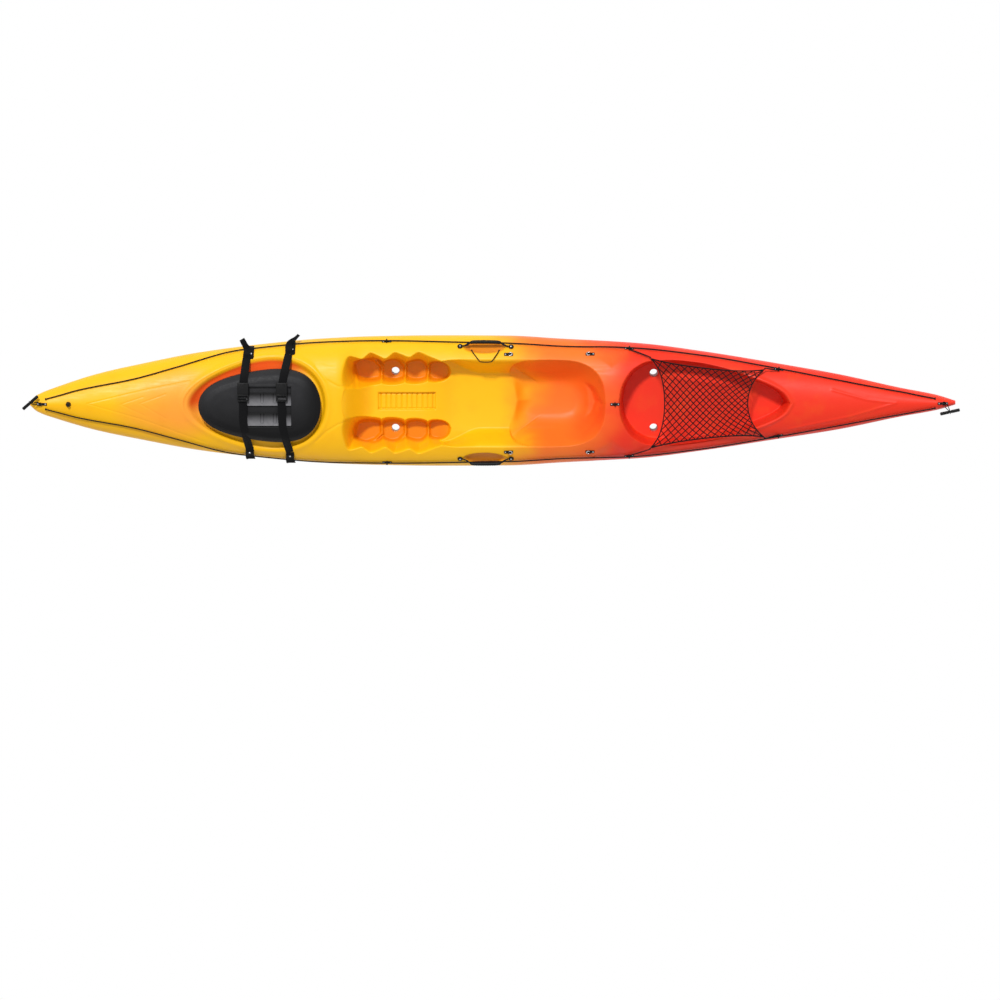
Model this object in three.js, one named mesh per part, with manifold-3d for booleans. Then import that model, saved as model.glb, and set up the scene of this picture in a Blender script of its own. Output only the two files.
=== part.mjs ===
// A sit-on-top touring kayak with a strapped bow hatch, stepped footwells, a seat pan and a netted tank well.
// Lengths are in millimetres. X runs from bow to stern, Y to starboard and Z up from the keel.
import * as THREE from "three";
import { mergeVertices } from "three/addons/utils/BufferGeometryUtils.js";
import Module from "manifold-3d";

const wasm = await Module();
wasm.setup();

// Driving dimensions

const fit = { gap: 0.3, seat: 0.5, cordGap: 0.4, overrun: 60 };

const hull = {
  length: 4500,
  beam: 640,
  deckHeight: 330,
  wall: 5.5,
  endWall: 22,
  endShare: 0.78,
  seamLip: 5,
  seamBand: 6,
  seamShare: 0.25,
  leastHalf: 1,
  innerEnd: 190,
  stations: 37,
  deckSides: 12,
  bottomSides: 8,
  innerStations: 27,
};
const halfLength = hull.length / 2;
const halfBeam = hull.beam / 2;

// Each table pairs a share of the half length, from the bow at -1 to the stern at 1, with its value.
// Half beams are shares of the half beam, and heights are shares of the deck height.
const planShares = [
  [-1, 0.03], [-0.985, 0.125], [-0.94, 0.25], [-0.855, 0.435], [-0.765, 0.575], [-0.635, 0.75],
  [-0.5, 0.87], [-0.375, 0.95], [-0.245, 0.988], [-0.11, 1], [0.03, 0.995], [0.145, 0.95],
  [0.32, 0.88], [0.45, 0.765], [0.62, 0.575], [0.75, 0.42], [0.88, 0.223], [0.96, 0.115], [1, 0.03],
];
const seamShares = [
  [-1, 0.845], [-0.82, 0.642], [-0.626, 0.548], [-0.483, 0.49], [-0.22, 0.448], [0.197, 0.448],
  [0.32, 0.467], [0.557, 0.509], [0.784, 0.633], [0.96, 0.703], [1, 0.735],
];
const keelShares = [
  [-1, 0.81], [-0.9945, 0.67], [-0.9835, 0.497], [-0.966, 0.327], [-0.948, 0.22], [-0.93, 0.165],
  [-0.859, 0.082], [-0.75, 0.03], [-0.6, 0], [0.45, 0], [0.66, 0.028], [0.8, 0.06], [0.8916, 0.088],
  [0.9218, 0.118], [0.945, 0.18], [0.967, 0.285], [0.982, 0.433], [0.993, 0.585], [1, 0.71],
];
const crownShares = [
  [-1, 0.87], [-0.992, 0.92], [-0.975, 0.965], [-0.955, 0.985], [-0.9, 0.975], [-0.82, 0.955],
  [-0.656, 0.965], [-0.6, 0.99], [-0.5, 1], [-0.34, 1], [-0.275, 0.9], [-0.115, 0.94], [0.015, 0.98],
  [0.17, 0.955], [0.26, 0.985], [0.31, 0.955], [0.37, 0.91], [0.6, 0.89], [0.8, 0.875], [0.96, 0.865],
  [0.985, 0.84], [1, 0.765],
];
const deckPowerShares = [
  [-1, 1.6], [-0.8, 1.65], [-0.55, 2.3], [-0.4, 2.5], [0.5, 2.5], [0.75, 2.1], [1, 1.8],
];
const bilgePowerShares = [
  [-1, 1], [-0.85, 1.3], [-0.6, 2.2], [-0.3, 3.2], [0.3, 3.2], [0.6, 2.4], [0.85, 1.5], [1, 1.1],
];
const flatShare = 0.18;
const stationMixShare = 0.72;

const hatch = {
  centre: -1133,
  length: 592,
  width: 352,
  skew: 0.3,
  recessCentre: -1153,
  recessLength: 688,
  recessWidth: 436,
  recessDepth: 24,
  recessFoot: 9,
  coamingInset: 36,
  coamingWall: 7,
  coamingRise: 14,
  mouthDepth: 110,
  points: 24,
  rings: 2,
};
const lid = {
  rise: 33,
  wall: 5,
  band: 22,
  shoulder: 60,
  tray: {
    centre: -1088,
    side: -8,
    length: 220,
    width: 195,
    depth: 15,
    barHigh: 3,
    barLow: 12,
    groove: 8,
    grooveShare: 0.143,
    insetShare: 0.15,
    barShare: 0.32,
    pitchShare: 0.5,
  },
};
const lidTop = hull.deckHeight + lid.rise;
const seal = { reach: 5, inset: 16, thick: 4, lift: 1.2 };
const domeShares = [[0, 0], [0.12, 0.34], [0.4, 0.76], [0.8, 0.96], [1.5, 1]];

const cockpit = {
  bow: -742,
  stern: 553,
  wallHalf: 232,
  consoleHeight: 176,
  padHeight: 150,
  seatBow: 40,
  seatStern: 500,
  seatHalf: 188,
  seatFloorHalf: 150,
  seatHeight: 97,
  seatBowBow: 62,
  seatCornerShare: 0.72,
  seatLip: 6,
  seatTaper: 40,
  ramp: 125,
  backRamp: 60,
  frontWallShare: 0.96,
  seatWallShare: 0.7,
  wallTurn: [-250, -50],
  floorTurn: [-350, -200],
  points: 24,
  rings: 3,
};
const footwell = {
  firstLobe: -652,
  pitch: 115,
  lobes: 4,
  lobeWidth: 134,
  cornerShare: 0.75,
  roomSpare: 20,
  outer: 244,
  inner: 80,
  slant: 96,
  floor: 84,
  step: 16,
  taper: 15,
  points: 12,
  rings: 2,
};
const consoleRecess = {
  centre: -420, length: 279, width: 84, depth: 12, ribs: 10, ribHeight: 7, ribShare: 0.45, ribRoot: 2,
};
const scupper = { radius: 17, footX: -477, footY: 140, tankX: 785, tankY: 134, sides: 10 };
const tankWell = { bow: 609, stern: 1445, half: 210, floor: 140, taper: 26, points: 24, rings: 3 };
const tankShares = [
  [0, 0], [0.01, 0.3], [0.035, 0.55], [0.09, 0.82], [0.18, 0.98], [0.3, 1], [0.45, 0.95],
  [0.64, 0.79], [0.79, 0.58], [0.91, 0.37], [0.97, 0.2], [1, 0],
];
const wallShares = [0.25, 0.5, 0.8, 1];
const cockpitShares = [
  [0, 0], [0.012, 0.28], [0.05, 0.5], [0.1, 0.62], [0.2, 0.64], [0.28, 0.68], [0.36, 0.86],
  [0.45, 0.93], [0.62, 0.93], [0.8, 0.92], [0.88, 0.84], [0.95, 0.62], [0.985, 0.36], [1, 0],
];
const scoop = {
  centre: -42, length: 215, height: 62, depth: 30, tilt: Math.PI / 4, seatShare: 0.855, sides: 10, rows: 6,
};

const cord = { radius: 2.75, sides: 8, eyeShare: 1.43 };
const line = { points: 44, steps: 35, bowInset: 80, sternInset: 102, knot: 5.5 };
const lineShares = [
  [-0.965, 0.36], [-0.904, 0.556], [-0.795, 0.63], [-0.687, 0.774], [-0.544, 0.94], [-0.4, 0.945],
  [-0.23, 0.93], [-0.06, 0.903], [0.145, 0.89], [0.295, 0.916], [0.45, 0.918], [0.61, 0.875],
  [0.773, 0.776], [0.882, 0.72], [0.954, 0.5],
];

const padeye = { length: 38, width: 15, thick: 3, wall: 2.5, sides: 5, arch: 4, steps: 6, cornerShare: 0.42 };
const linePadeye = { place: -517 };
const netPadeye = { bowInset: 54, sternInset: 55 };
const seatPadeye = { bow: 76, stern: 472, side: 238 };
const seatRing = { radius: 8.5, wire: 1.6, sides: 5, steps: 10, droop: 0.045 };
const centrePadeye = { place: 592 };
const endPadeye = { bowInset: 60, sternInset: 64, length: 52, width: 20 };

const toggle = {
  length: 97,
  radius: 8,
  waist: 6,
  waistLength: 9,
  endShare: 0.7,
  chamfer: 3,
  sides: 10,
  loopWire: 2,
  loopSteps: 23,
  loopSides: 5,
  bend: 6.6,
  bendShare: 0.25,
  leg: 9.5,
  wrap: [2.2, 1.1, 0, -1.1, -2.2],
};
const bowToggle = { along: -53, across: 9, rise: 9, yaw: 0.72, pitch: 0, lead: [-22, 3] };
const sternToggle = { along: 36, across: -43, rise: -20, yaw: 0.23, pitch: 0.1, lead: [17, -14] };

const bung = {
  inset: 189,
  hole: 8,
  shankRadius: 7,
  shank: 14,
  head: 12.5,
  brim: 6,
  height: 25,
  shoulderShare: 0.6,
  tipShare: 0.33,
  sides: 12,
};
const bungPlace = bung.inset - halfLength;

const handle = {
  centre: -36,
  span: 248,
  seatShare: 0.855,
  lift: 5,
  capRadius: 13,
  capHeight: 6,
  capShare: 0.7,
  screwRadius: 4.2,
  capSides: 10,
  webbing: 25,
  thick: 3,
  gripShare: 0.66,
  gripRadius: 9.5,
  gripSteps: 6,
  gripSides: 8,
  arch: 25,
  lean: 0.52,
  points: 15,
};
const archShares = [
  [-1, 0], [-0.9, 0.04], [-0.68, 0.86], [-0.5, 0.98], [0, 1], [0.5, 0.98], [0.68, 0.86], [0.9, 0.04], [1, 0],
];
const bandShares = [
  [-1, 0.44], [-0.88, 0.48], [-0.78, 0.92], [-0.7, 0.6], [0.7, 0.6], [0.78, 0.92], [0.88, 0.48], [1, 0.44],
];

const strap = {
  places: { front: -1211, rear: -1024 },
  width: 39,
  thick: 2.4,
  anchorShare: 0.84,
  step: 7,
  clearance: 1.2,
  tabReach: 22,
  tabDrop: 16,
  tailReach: 44,
  tailDrop: 3,
  screwRadius: 9,
  screwSides: 8,
};
const edgeShares = [-0.5, -0.42, -0.3, -0.15, 0, 0.15, 0.3, 0.42, 0.5];
const buckle = {
  from: 30,
  parting: 58,
  to: 104,
  width: 54,
  height: 11,
  tongueWidth: 34,
  tongueHeight: 3.6,
  tongueReach: 20,
  play: 0.6,
  corner: 5,
};

const net = {
  bowInset: 186,
  sternInset: 151,
  bowHalf: 206,
  sternHalf: 152,
  bowDip: 39,
  sternDip: 56,
  sideDip: 36,
  drop: 54,
  crown: 5,
  cord: 3.4,
  thick: 2.6,
  rows: 10,
  columns: 9,
};
const tie = { radius: 2.2, knot: 4.6, steps: 2, sides: 6, off: 13.6 };
const bungee = {
  radius: 2.4,
  steps: 17,
  lift: 10.5,
  endLift: 5.3,
  knot: 4.5,
  ends: [-104, 30],
  middle: [-63, -7],
  outer: 244,
  inner: 205,
  drop: 83,
  samples: 6,
};
const bead = { sides: 6, rows: 4 };

// Tables and shapes

// A smooth curve through the table's pairs, with no overshoot between them.
function along(table, at) {
  const last = table.length - 1;
  if (at <= table[0][0]) return table[0][1];
  if (at >= table[last][0]) return table[last][1];
  let i = 0;
  while (at > table[i + 1][0]) i += 1;
  const slope = (k) => (table[k + 1][1] - table[k][1]) / (table[k + 1][0] - table[k][0]);
  const tangent = (k) => {
    if (k === 0) return slope(0);
    if (k === last) return slope(last - 1);
    const before = slope(k - 1);
    const after = slope(k);
    return before * after <= 0 ? 0 : (2 * before * after) / (before + after);
  };
  const width = table[i + 1][0] - table[i][0];
  const t = (at - table[i][0]) / width;
  const rise = t * t * (3 - 2 * t);
  const leave = t * (1 - t) * (1 - t) * width * tangent(i);
  const arrive = t * t * (t - 1) * width * tangent(i + 1);
  return table[i][1] + (table[i + 1][1] - table[i][1]) * rise + leave + arrive;
}

const clamp = THREE.MathUtils.clamp;
const mix = THREE.MathUtils.lerp;
const spread = (count, make) => Array.from({ length: count }, (_, i) => make(i));

const beamAt = (x) => halfBeam * along(planShares, x / halfLength);
const seamAt = (x) => hull.deckHeight * along(seamShares, x / halfLength);
const keelAt = (x) => hull.deckHeight * along(keelShares, x / halfLength);
const crownAt = (x) => hull.deckHeight * along(crownShares, x / halfLength);

// The deck falls from its crown to the seam like a flattened ellipse.
function deckAt(x, y) {
  const u = clamp(Math.abs(y) / beamAt(x), 0, 1);
  const power = along(deckPowerShares, x / halfLength);
  return seamAt(x) + (crownAt(x) - seamAt(x)) * Math.sqrt(1 - Math.pow(u, power));
}

// The bottom is flat along the keel and rises to the seam round the bilge.
function bottomAt(x, share) {
  const u = clamp((Math.abs(share) - flatShare) / (1 - flatShare), 0, 1);
  const power = along(bilgePowerShares, x / halfLength);
  return keelAt(x) + (seamAt(x) - keelAt(x)) * Math.pow(u, power);
}

// A closed mesh as a solid, turned right side out.
function solidOf(geometry) {
  const bare = geometry.clone();
  for (const name of Object.keys(bare.attributes)) if (name !== "position") bare.deleteAttribute(name);
  const merged = mergeVertices(bare);
  const data = { numProp: 3, vertProperties: merged.attributes.position.array };
  const made = new wasm.Manifold(new wasm.Mesh({ ...data, triVerts: new Uint32Array(merged.index.array) }));
  if (made.volume() > 0) return made;
  const turned = new Uint32Array(merged.index.array).reverse();
  return new wasm.Manifold(new wasm.Mesh({ ...data, triVerts: turned }));
}

function geometryOf(solid) {
  const mesh = solid.getMesh();
  const geometry = new THREE.BufferGeometry();
  const places = new Float32Array(mesh.numVert * 3);
  for (let i = 0; i < mesh.numVert; i += 1) {
    places.set(mesh.vertProperties.subarray(i * mesh.numProp, i * mesh.numProp + 3), i * 3);
  }
  geometry.setAttribute("position", new THREE.BufferAttribute(places, 3));
  geometry.setIndex(new THREE.BufferAttribute(mesh.triVerts, 1));
  geometry.computeVertexNormals();
  return geometry;
}

const union = (solids) => solids.reduce((a, b) => a.add(b));

// A closed skin over rings of points, with a fan from its middle over the first and the last ring.
function loft(rings) {
  const size = rings[0].length;
  const places = rings.flat();
  const faces = [];
  for (let r = 0; r < rings.length - 1; r += 1) {
    for (let i = 0; i < size; i += 1) {
      const a = r * size + i;
      const b = r * size + ((i + 1) % size);
      faces.push(a, b, b + size, a, b + size, a + size);
    }
  }
  const fan = (ring, first, forward) => {
    const sum = ring.reduce((total, p) => total.add(p), new THREE.Vector3());
    const middle = places.push(sum.divideScalar(size)) - 1;
    for (let i = 0; i < size; i += 1) {
      const a = first + i;
      const b = first + ((i + 1) % size);
      if (forward) faces.push(a, b, middle);
      else faces.push(b, a, middle);
    }
  };
  fan(rings[0], 0, false);
  fan(rings.at(-1), (rings.length - 1) * size, true);
  const geometry = new THREE.BufferGeometry().setFromPoints(places);
  geometry.setIndex(faces);
  return geometry;
}

// Moves a closed outline outwards by a distance, or inwards by a negative one.
function grown(outline, distance) {
  const turn = THREE.ShapeUtils.area(outline) > 0 ? 1 : -1;
  return outline.map((p, i) => {
    const before = outline[(i + outline.length - 1) % outline.length];
    const after = outline[(i + 1) % outline.length];
    const run = new THREE.Vector2().subVectors(after, before).normalize();
    return new THREE.Vector2(p.x + turn * run.y * distance, p.y - turn * run.x * distance);
  });
}

// Widens a closed outline by a distance on every side, or narrows it by a negative one.
function widened(outline, distance) {
  const box = new THREE.Box2().setFromPoints(outline);
  const middle = box.getCenter(new THREE.Vector2());
  const size = box.getSize(new THREE.Vector2());
  return outline.map((p) => new THREE.Vector2(
    middle.x + (p.x - middle.x) * (1 + (2 * distance) / size.x),
    middle.y + (p.y - middle.y) * (1 + (2 * distance) / size.y),
  ));
}

// A closed outline from half widths along X, the same on both sides.
function symmetricOutline(from, to, half, shares, points) {
  const side = spread(points / 2 + 1, (i) => {
    const t = (1 - Math.cos((Math.PI * 2 * i) / points)) / 2;
    return new THREE.Vector2(mix(from, to, t), half * along(shares, t));
  });
  const back = side.slice(1, -1).reverse().map((p) => new THREE.Vector2(p.x, -p.y));
  return [...side, ...back];
}

// An egg, fuller towards the stern by its skew.
function egg(centre, length, width, points) {
  return spread(points, (i) => {
    const angle = (2 * Math.PI * i) / points;
    const round = Math.sin(angle) * (1 + hatch.skew * Math.cos(angle));
    return new THREE.Vector2(centre + (length / 2) * Math.cos(angle), (width / 2) * round);
  });
}

const atHeights = (outline, height) => outline.map((p) => new THREE.Vector3(p.x, p.y, height(p.x, p.y)));

// A well cut down from the deck: a rounded lip, a sloping wall and a rounded foot between its two outlines.
function well(top, foot, floor, steps, inner = []) {
  const above = hull.deckHeight + fit.overrun;
  const rings = [atHeights(top, () => above)];
  for (let s = 0; s <= steps; s += 1) {
    const w = s / steps;
    const drop = w * w * (3 - 2 * w);
    rings.push(top.map((p, i) => {
      const x = mix(p.x, foot[i].x, w);
      const y = mix(p.y, foot[i].y, w);
      return new THREE.Vector3(x, y, mix(deckAt(p.x, p.y), floor(foot[i].x, foot[i].y), drop));
    }));
  }
  for (const outline of inner) rings.push(atHeights(outline, floor));
  return solidOf(loft(rings));
}

// Hull

// One cross-section as a ring: over the deck from port to starboard, then back under the bottom.
function section(x, wall) {
  const { deckSides, bottomSides, endShare } = hull;
  const endward = clamp((Math.abs(x) / halfLength - endShare) / (1 - endShare), 0, 1);
  const inset = wall > 0 ? wall + hull.endWall * endward : 0;
  const beam = Math.max(beamAt(x) - inset, hull.leastHalf);
  const crown = crownAt(x) - inset;
  const seam = seamAt(x);
  const lip = inset > 0 ? 0 : Math.min(hull.seamLip, beam * hull.seamShare);
  const power = along(deckPowerShares, x / halfLength);
  const deck = spread(deckSides + 1, (i) => {
    const u = Math.sin(Math.PI * (i / deckSides - 1 / 2));
    const rise = Math.sqrt(Math.max(0, 1 - Math.pow(Math.abs(u), power)));
    return new THREE.Vector3(x, beam * u, seam + (crown - seam) * rise);
  });
  const bottom = spread(bottomSides - 1, (i) => {
    const u = 1 - (2 * (i + 1)) / bottomSides;
    const low = Math.max(bottomAt(x, u), keelAt(x));
    const upShare = (low - keelAt(x)) / Math.max(seam - keelAt(x), hull.leastHalf);
    return new THREE.Vector3(x, (beam - lip) * u, low + inset * (1 - upShare));
  });
  if (inset > 0) return [...deck, ...bottom];
  const fall = Math.min(hull.seamBand, (seam - keelAt(x)) / 2);
  const edge = (side) => new THREE.Vector3(x, side * (beam - lip), seam - fall);
  return [...deck, edge(1), ...bottom, edge(-1)];
}

function hullLoft(inset, end, stations) {
  const rings = spread(stations, (i) => {
    const t = i / (stations - 1);
    const even = 2 * t - 1;
    const x = (halfLength - end) * mix(even, -Math.cos(Math.PI * t), stationMixShare);
    return section(x, inset);
  });
  return solidOf(loft(rings));
}

const deckFall = (depth) => (x, y) => deckAt(x, y) - depth;

function hatchRecess(grow) {
  const top = grown(egg(hatch.recessCentre, hatch.recessLength, hatch.recessWidth, hatch.points), grow);
  const foot = grown(egg(hatch.centre, hatch.length, hatch.width, hatch.points), hatch.recessFoot + grow);
  const middle = [hatch.coamingInset, 2 * hatch.coamingInset].map((inset) => (
    grown(egg(hatch.centre, hatch.length, hatch.width, hatch.points), -inset)));
  return well(top, foot, deckFall(hatch.recessDepth + grow), hatch.rings, middle);
}

// An upright ring or plug inside the lid's outline, between two falls from the deck.
function hatchPlug(inset, low, high) {
  const outline = grown(egg(hatch.centre, hatch.length, hatch.width, hatch.points), -inset);
  return solidOf(loft([atHeights(outline, deckFall(low)), atHeights(outline, deckFall(high))]));
}

function cockpitWell(grow) {
  const { bow, stern, wallHalf, points, frontWallShare, seatWallShare } = cockpit;
  const outline = symmetricOutline(bow, stern, wallHalf, cockpitShares, points);
  const turn = (x, [from, to]) => clamp((x - from) / (to - from), 0, 1);
  const foot = outline.map((p) => {
    const x = mix(bow + cockpit.ramp, stern - cockpit.backRamp, (p.x - bow) / (stern - bow));
    return new THREE.Vector2(x, p.y * mix(frontWallShare, seatWallShare, turn(x, cockpit.wallTurn)));
  });
  const floor = (x) => mix(cockpit.consoleHeight, cockpit.padHeight, turn(x, cockpit.floorTurn)) - grow;
  return well(widened(outline, grow), widened(foot, grow), floor, cockpit.rings);
}

// The seat pan's front edge bows towards the stern at its middle.
function seatPan(grow) {
  const oval = (half, inset) => spread(cockpit.points, (i) => {
    const angle = (2 * Math.PI * i) / cockpit.points;
    const round = (v) => Math.sign(v) * Math.pow(Math.abs(v), cockpit.seatCornerShare);
    const lengthwise = round(Math.cos(angle));
    const y = half * round(Math.sin(angle));
    const middle = (cockpit.seatBow + cockpit.seatStern) / 2;
    const reach = (cockpit.seatStern - cockpit.seatBow) / 2 - inset;
    const bow = lengthwise < 0 ? cockpit.seatBowBow * (1 - (y / half) * (y / half)) * -lengthwise : 0;
    return new THREE.Vector2(middle + reach * lengthwise + bow, y);
  });
  const top = widened(oval(cockpit.seatHalf, 0), grow);
  const foot = widened(oval(cockpit.seatFloorHalf, cockpit.seatTaper), grow);
  const above = hull.deckHeight + fit.overrun;
  const rings = [atHeights(top, () => above), atHeights(top, () => cockpit.padHeight + cockpit.seatLip)];
  for (const w of wallShares) {
    const drop = w * w * (3 - 2 * w);
    const height = mix(cockpit.padHeight, cockpit.seatHeight - grow, drop);
    rings.push(top.map((p, i) => (
      new THREE.Vector3(mix(p.x, foot[i].x, w), mix(p.y, foot[i].y, w), height))));
  }
  return solidOf(loft(rings));
}

// One slanted bay of a footwell, whose floor climbs towards the stern as a heel step.
function footBay(side, index) {
  const bow = footwell.firstLobe + index * footwell.pitch;
  const reach = (footwell.outer - footwell.inner) / 2;
  const middle = (footwell.outer + footwell.inner) / 2;
  const bay = (inset) => spread(footwell.points, (i) => {
    const angle = (2 * Math.PI * i) / footwell.points;
    const square = (v) => Math.sign(v) * Math.pow(Math.abs(v), footwell.cornerShare);
    const across = square(Math.sin(angle));
    const slide = -(footwell.slant / 2) * across;
    return new THREE.Vector2(
      bow + slide + (footwell.lobeWidth / 2 - inset) * square(Math.cos(angle)),
      side * (middle + (reach - inset) * across),
    );
  });
  const slope = footwell.step / footwell.lobeWidth;
  const floor = (x) => footwell.floor + footwell.step + slope * (x - bow);
  return well(bay(0), bay(footwell.taper), floor, footwell.rings);
}

// The room that a whole footwell takes, for the wall under it.
function footRoom(side, grow) {
  const bow = footwell.firstLobe - footwell.lobeWidth / 2 - footwell.slant / 2;
  const stern = bow + footwell.lobes * footwell.pitch + footwell.slant + footwell.roomSpare;
  const corners = [
    [bow, footwell.outer], [stern - footwell.slant, footwell.outer], [stern, footwell.inner],
    [bow + footwell.slant, footwell.inner],
  ];
  const outline = grown(corners.map(([x, y]) => new THREE.Vector2(x, side * y)), grow);
  const above = hull.deckHeight + fit.overrun;
  return solidOf(loft([atHeights(outline, () => footwell.floor - grow), atHeights(outline, () => above)]));
}

function tankWellCut(grow) {
  const top = symmetricOutline(tankWell.bow, tankWell.stern, tankWell.half, tankShares, tankWell.points);
  const foot = widened(top, -tankWell.taper);
  return well(widened(top, grow), widened(foot, grow), () => tankWell.floor - grow, tankWell.rings);
}

function upright(radius, x, y, low, high, sides) {
  const geometry = new THREE.CylinderGeometry(radius, radius, high - low, sides);
  geometry.rotateX(Math.PI / 2);
  geometry.translate(x, y, (low + high) / 2);
  return solidOf(geometry);
}

function scuppers(radius) {
  const { footX, footY, tankX, tankY } = scupper;
  const places = [1, -1].flatMap((side) => [[footX, side * footY], [tankX, side * tankY]]);
  return places.map(([x, y]) => upright(radius, x, y, -fit.overrun, hull.deckHeight / 2, scupper.sides));
}

// A hollow for the fingers behind each carry handle.
function fingerScoop(side, grow) {
  const x = scoop.centre;
  const y = beamAt(x) * scoop.seatShare;
  const geometry = new THREE.SphereGeometry(1, scoop.sides, scoop.rows);
  geometry.scale(scoop.length / 2 + grow, scoop.height / 2 + grow, scoop.depth + grow);
  geometry.rotateX(-side * scoop.tilt);
  geometry.translate(x, side * y, deckAt(x, y));
  return solidOf(geometry);
}

function block(x, y, z, length, width, height) {
  const geometry = new THREE.BoxGeometry(length, width, height);
  geometry.translate(x, y, z);
  return solidOf(geometry);
}

function consoleTray(grow) {
  const length = consoleRecess.length + 2 * grow;
  const width = consoleRecess.width + 2 * grow;
  const height = 2 * (consoleRecess.depth + grow);
  return block(consoleRecess.centre, 0, cockpit.consoleHeight, length, width, height);
}

function makeHull() {
  const outer = hullLoft(0, 0, hull.stations);
  const inner = hullLoft(hull.wall, hull.innerEnd, hull.innerStations);
  const wall = hull.wall;
  const rooms = [
    cockpitWell(wall), seatPan(wall), tankWellCut(wall), footRoom(1, wall), footRoom(-1, wall),
    consoleTray(wall), hatchRecess(wall), fingerScoop(1, wall), fingerScoop(-1, wall),
    ...scuppers(scupper.radius + wall),
  ];
  const bays = [1, -1].flatMap((side) => spread(footwell.lobes, (i) => footBay(side, i)));
  const cuts = [
    cockpitWell(0), seatPan(0), tankWellCut(0), ...bays, hatchRecess(0), fingerScoop(1, 0), fingerScoop(-1, 0),
    consoleTray(0),
  ];
  const coamingTop = hatch.recessDepth - hatch.coamingRise;
  const coaming = hatchPlug(hatch.coamingInset, hatch.recessDepth + wall / 2, coamingTop);
  const mouth = hatchPlug(hatch.coamingInset + hatch.coamingWall, hatch.mouthDepth, -fit.overrun);
  const pitch = consoleRecess.length / consoleRecess.ribs;
  const ribs = spread(consoleRecess.ribs - 1, (i) => block(
    consoleRecess.centre - consoleRecess.length / 2 + (i + 1) * pitch, 0,
    cockpit.consoleHeight - consoleRecess.depth + consoleRecess.ribHeight / 2,
    pitch * consoleRecess.ribShare, consoleRecess.width + consoleRecess.ribRoot,
    consoleRecess.ribHeight + consoleRecess.ribRoot));
  const above = hull.deckHeight + fit.overrun;
  const bungHole = upright(bung.hole, bungPlace, 0, hull.deckHeight / 2, above, scupper.sides);
  const cavity = inner.subtract(union(rooms));
  return outer.subtract(cavity).subtract(union(cuts)).add(coaming).subtract(mouth)
    .subtract(union(scuppers(scupper.radius))).subtract(bungHole).add(union(ribs));
}

const root = new THREE.Group();
const skins = {
  shell: { color: 0xff9a1e, roughness: 0.42, metalness: 0 },
  black: { color: 0x16171a, roughness: 0.5, metalness: 0 },
  webbing: { color: 0x1b1c1f, roughness: 0.85, metalness: 0 },
  rubber: { color: 0x101012, roughness: 0.7, metalness: 0 },
  steel: { color: 0xc8ccd0, roughness: 0.3, metalness: 1 },
};

function add(name, solid, skin) {
  const mesh = new THREE.Mesh(geometryOf(solid), new THREE.MeshStandardMaterial(skins[skin]));
  mesh.name = name;
  root.add(mesh);
  mesh.updateMatrixWorld(true);
  return mesh;
}

const hullMesh = add("hull", makeHull(), "shell");

// Seats on the finished shell

const caster = new THREE.Raycaster();
const down = new THREE.Vector3(0, 0, -1);

function topOf(meshes, x, y) {
  caster.set(new THREE.Vector3(x, y, hull.deckHeight + lidTop), down);
  const hits = caster.intersectObjects(meshes, false);
  return hits.length ? hits[0].point.z : 0;
}
const shellAt = (x, y) => new THREE.Vector3(x, y, topOf([hullMesh], x, y));

// A seat for a flat foot: the plane along the shell under it, lifted clear of the shell between its corners.
function seatFor(x, y, length, width, slope = 0) {
  const ahead = new THREE.Vector2(1, slope).normalize();
  const at = (a, b) => shellAt(x + a * ahead.x - b * ahead.y, y + a * ahead.y + b * ahead.x);
  const run = at(length / 2, 0).sub(at(-length / 2, 0)).normalize();
  const across = at(0, width / 2).sub(at(0, -width / 2));
  const normal = new THREE.Vector3().crossVectors(run, across).normalize();
  const middle = at(0, 0);
  const rise = edgeShares.flatMap((a) => (
    edgeShares.map((b) => at(a * length, b * width).sub(middle).dot(normal))));
  return { point: middle.addScaledVector(normal, Math.max(...rise) + fit.seat), normal, run };
}

// Stands a mesh on its seat, with its Z along the seat's normal and its X along the seat's run.
function stand(mesh, { point, normal, run }) {
  const side = new THREE.Vector3().crossVectors(normal, run).normalize();
  mesh.quaternion.setFromRotationMatrix(new THREE.Matrix4().makeBasis(run, side, normal));
  mesh.position.copy(point);
  mesh.updateMatrixWorld(true);
  return mesh;
}

// The same stand for a solid that joins others in one mesh.
const stoodSolid = (solid, seat) => (
  solidOf(geometryOf(solid).applyMatrix4(stand(new THREE.Mesh(), seat).matrixWorld)));

// Tubes, bands and small solids

function tube(points, radius, steps, sides) {
  const path = new THREE.CatmullRomCurve3(points, false, "centripetal");
  const shape = new THREE.Shape(spread(sides, (i) => {
    const angle = (2 * Math.PI * i) / sides;
    return new THREE.Vector2(radius * Math.cos(angle), radius * Math.sin(angle));
  }));
  return solidOf(new THREE.ExtrudeGeometry(shape, { steps, extrudePath: path }));
}

// A closed ring of cord through points.
function cordRing(points, radius, steps, sides) {
  const path = new THREE.CatmullRomCurve3(points, true, "centripetal");
  const frames = path.computeFrenetFrames(steps, true);
  const places = [];
  const faces = [];
  for (let i = 0; i < steps; i += 1) {
    const middle = path.getPointAt(i / steps);
    const next = ((i + 1) % steps) * sides;
    for (let k = 0; k < sides; k += 1) {
      const angle = (2 * Math.PI * k) / sides;
      places.push(middle.clone()
        .addScaledVector(frames.normals[i], radius * Math.cos(angle))
        .addScaledVector(frames.binormals[i], radius * Math.sin(angle)));
      const turn = (k + 1) % sides;
      faces.push(i * sides + k, i * sides + turn, next + turn, i * sides + k, next + turn, next + k);
    }
  }
  const geometry = new THREE.BufferGeometry().setFromPoints(places);
  geometry.setIndex(faces);
  return solidOf(geometry);
}

function knotAt(center, radius) {
  const geometry = new THREE.SphereGeometry(radius, bead.sides, bead.rows);
  geometry.translate(center.x, center.y, center.z);
  return solidOf(geometry);
}

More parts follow.
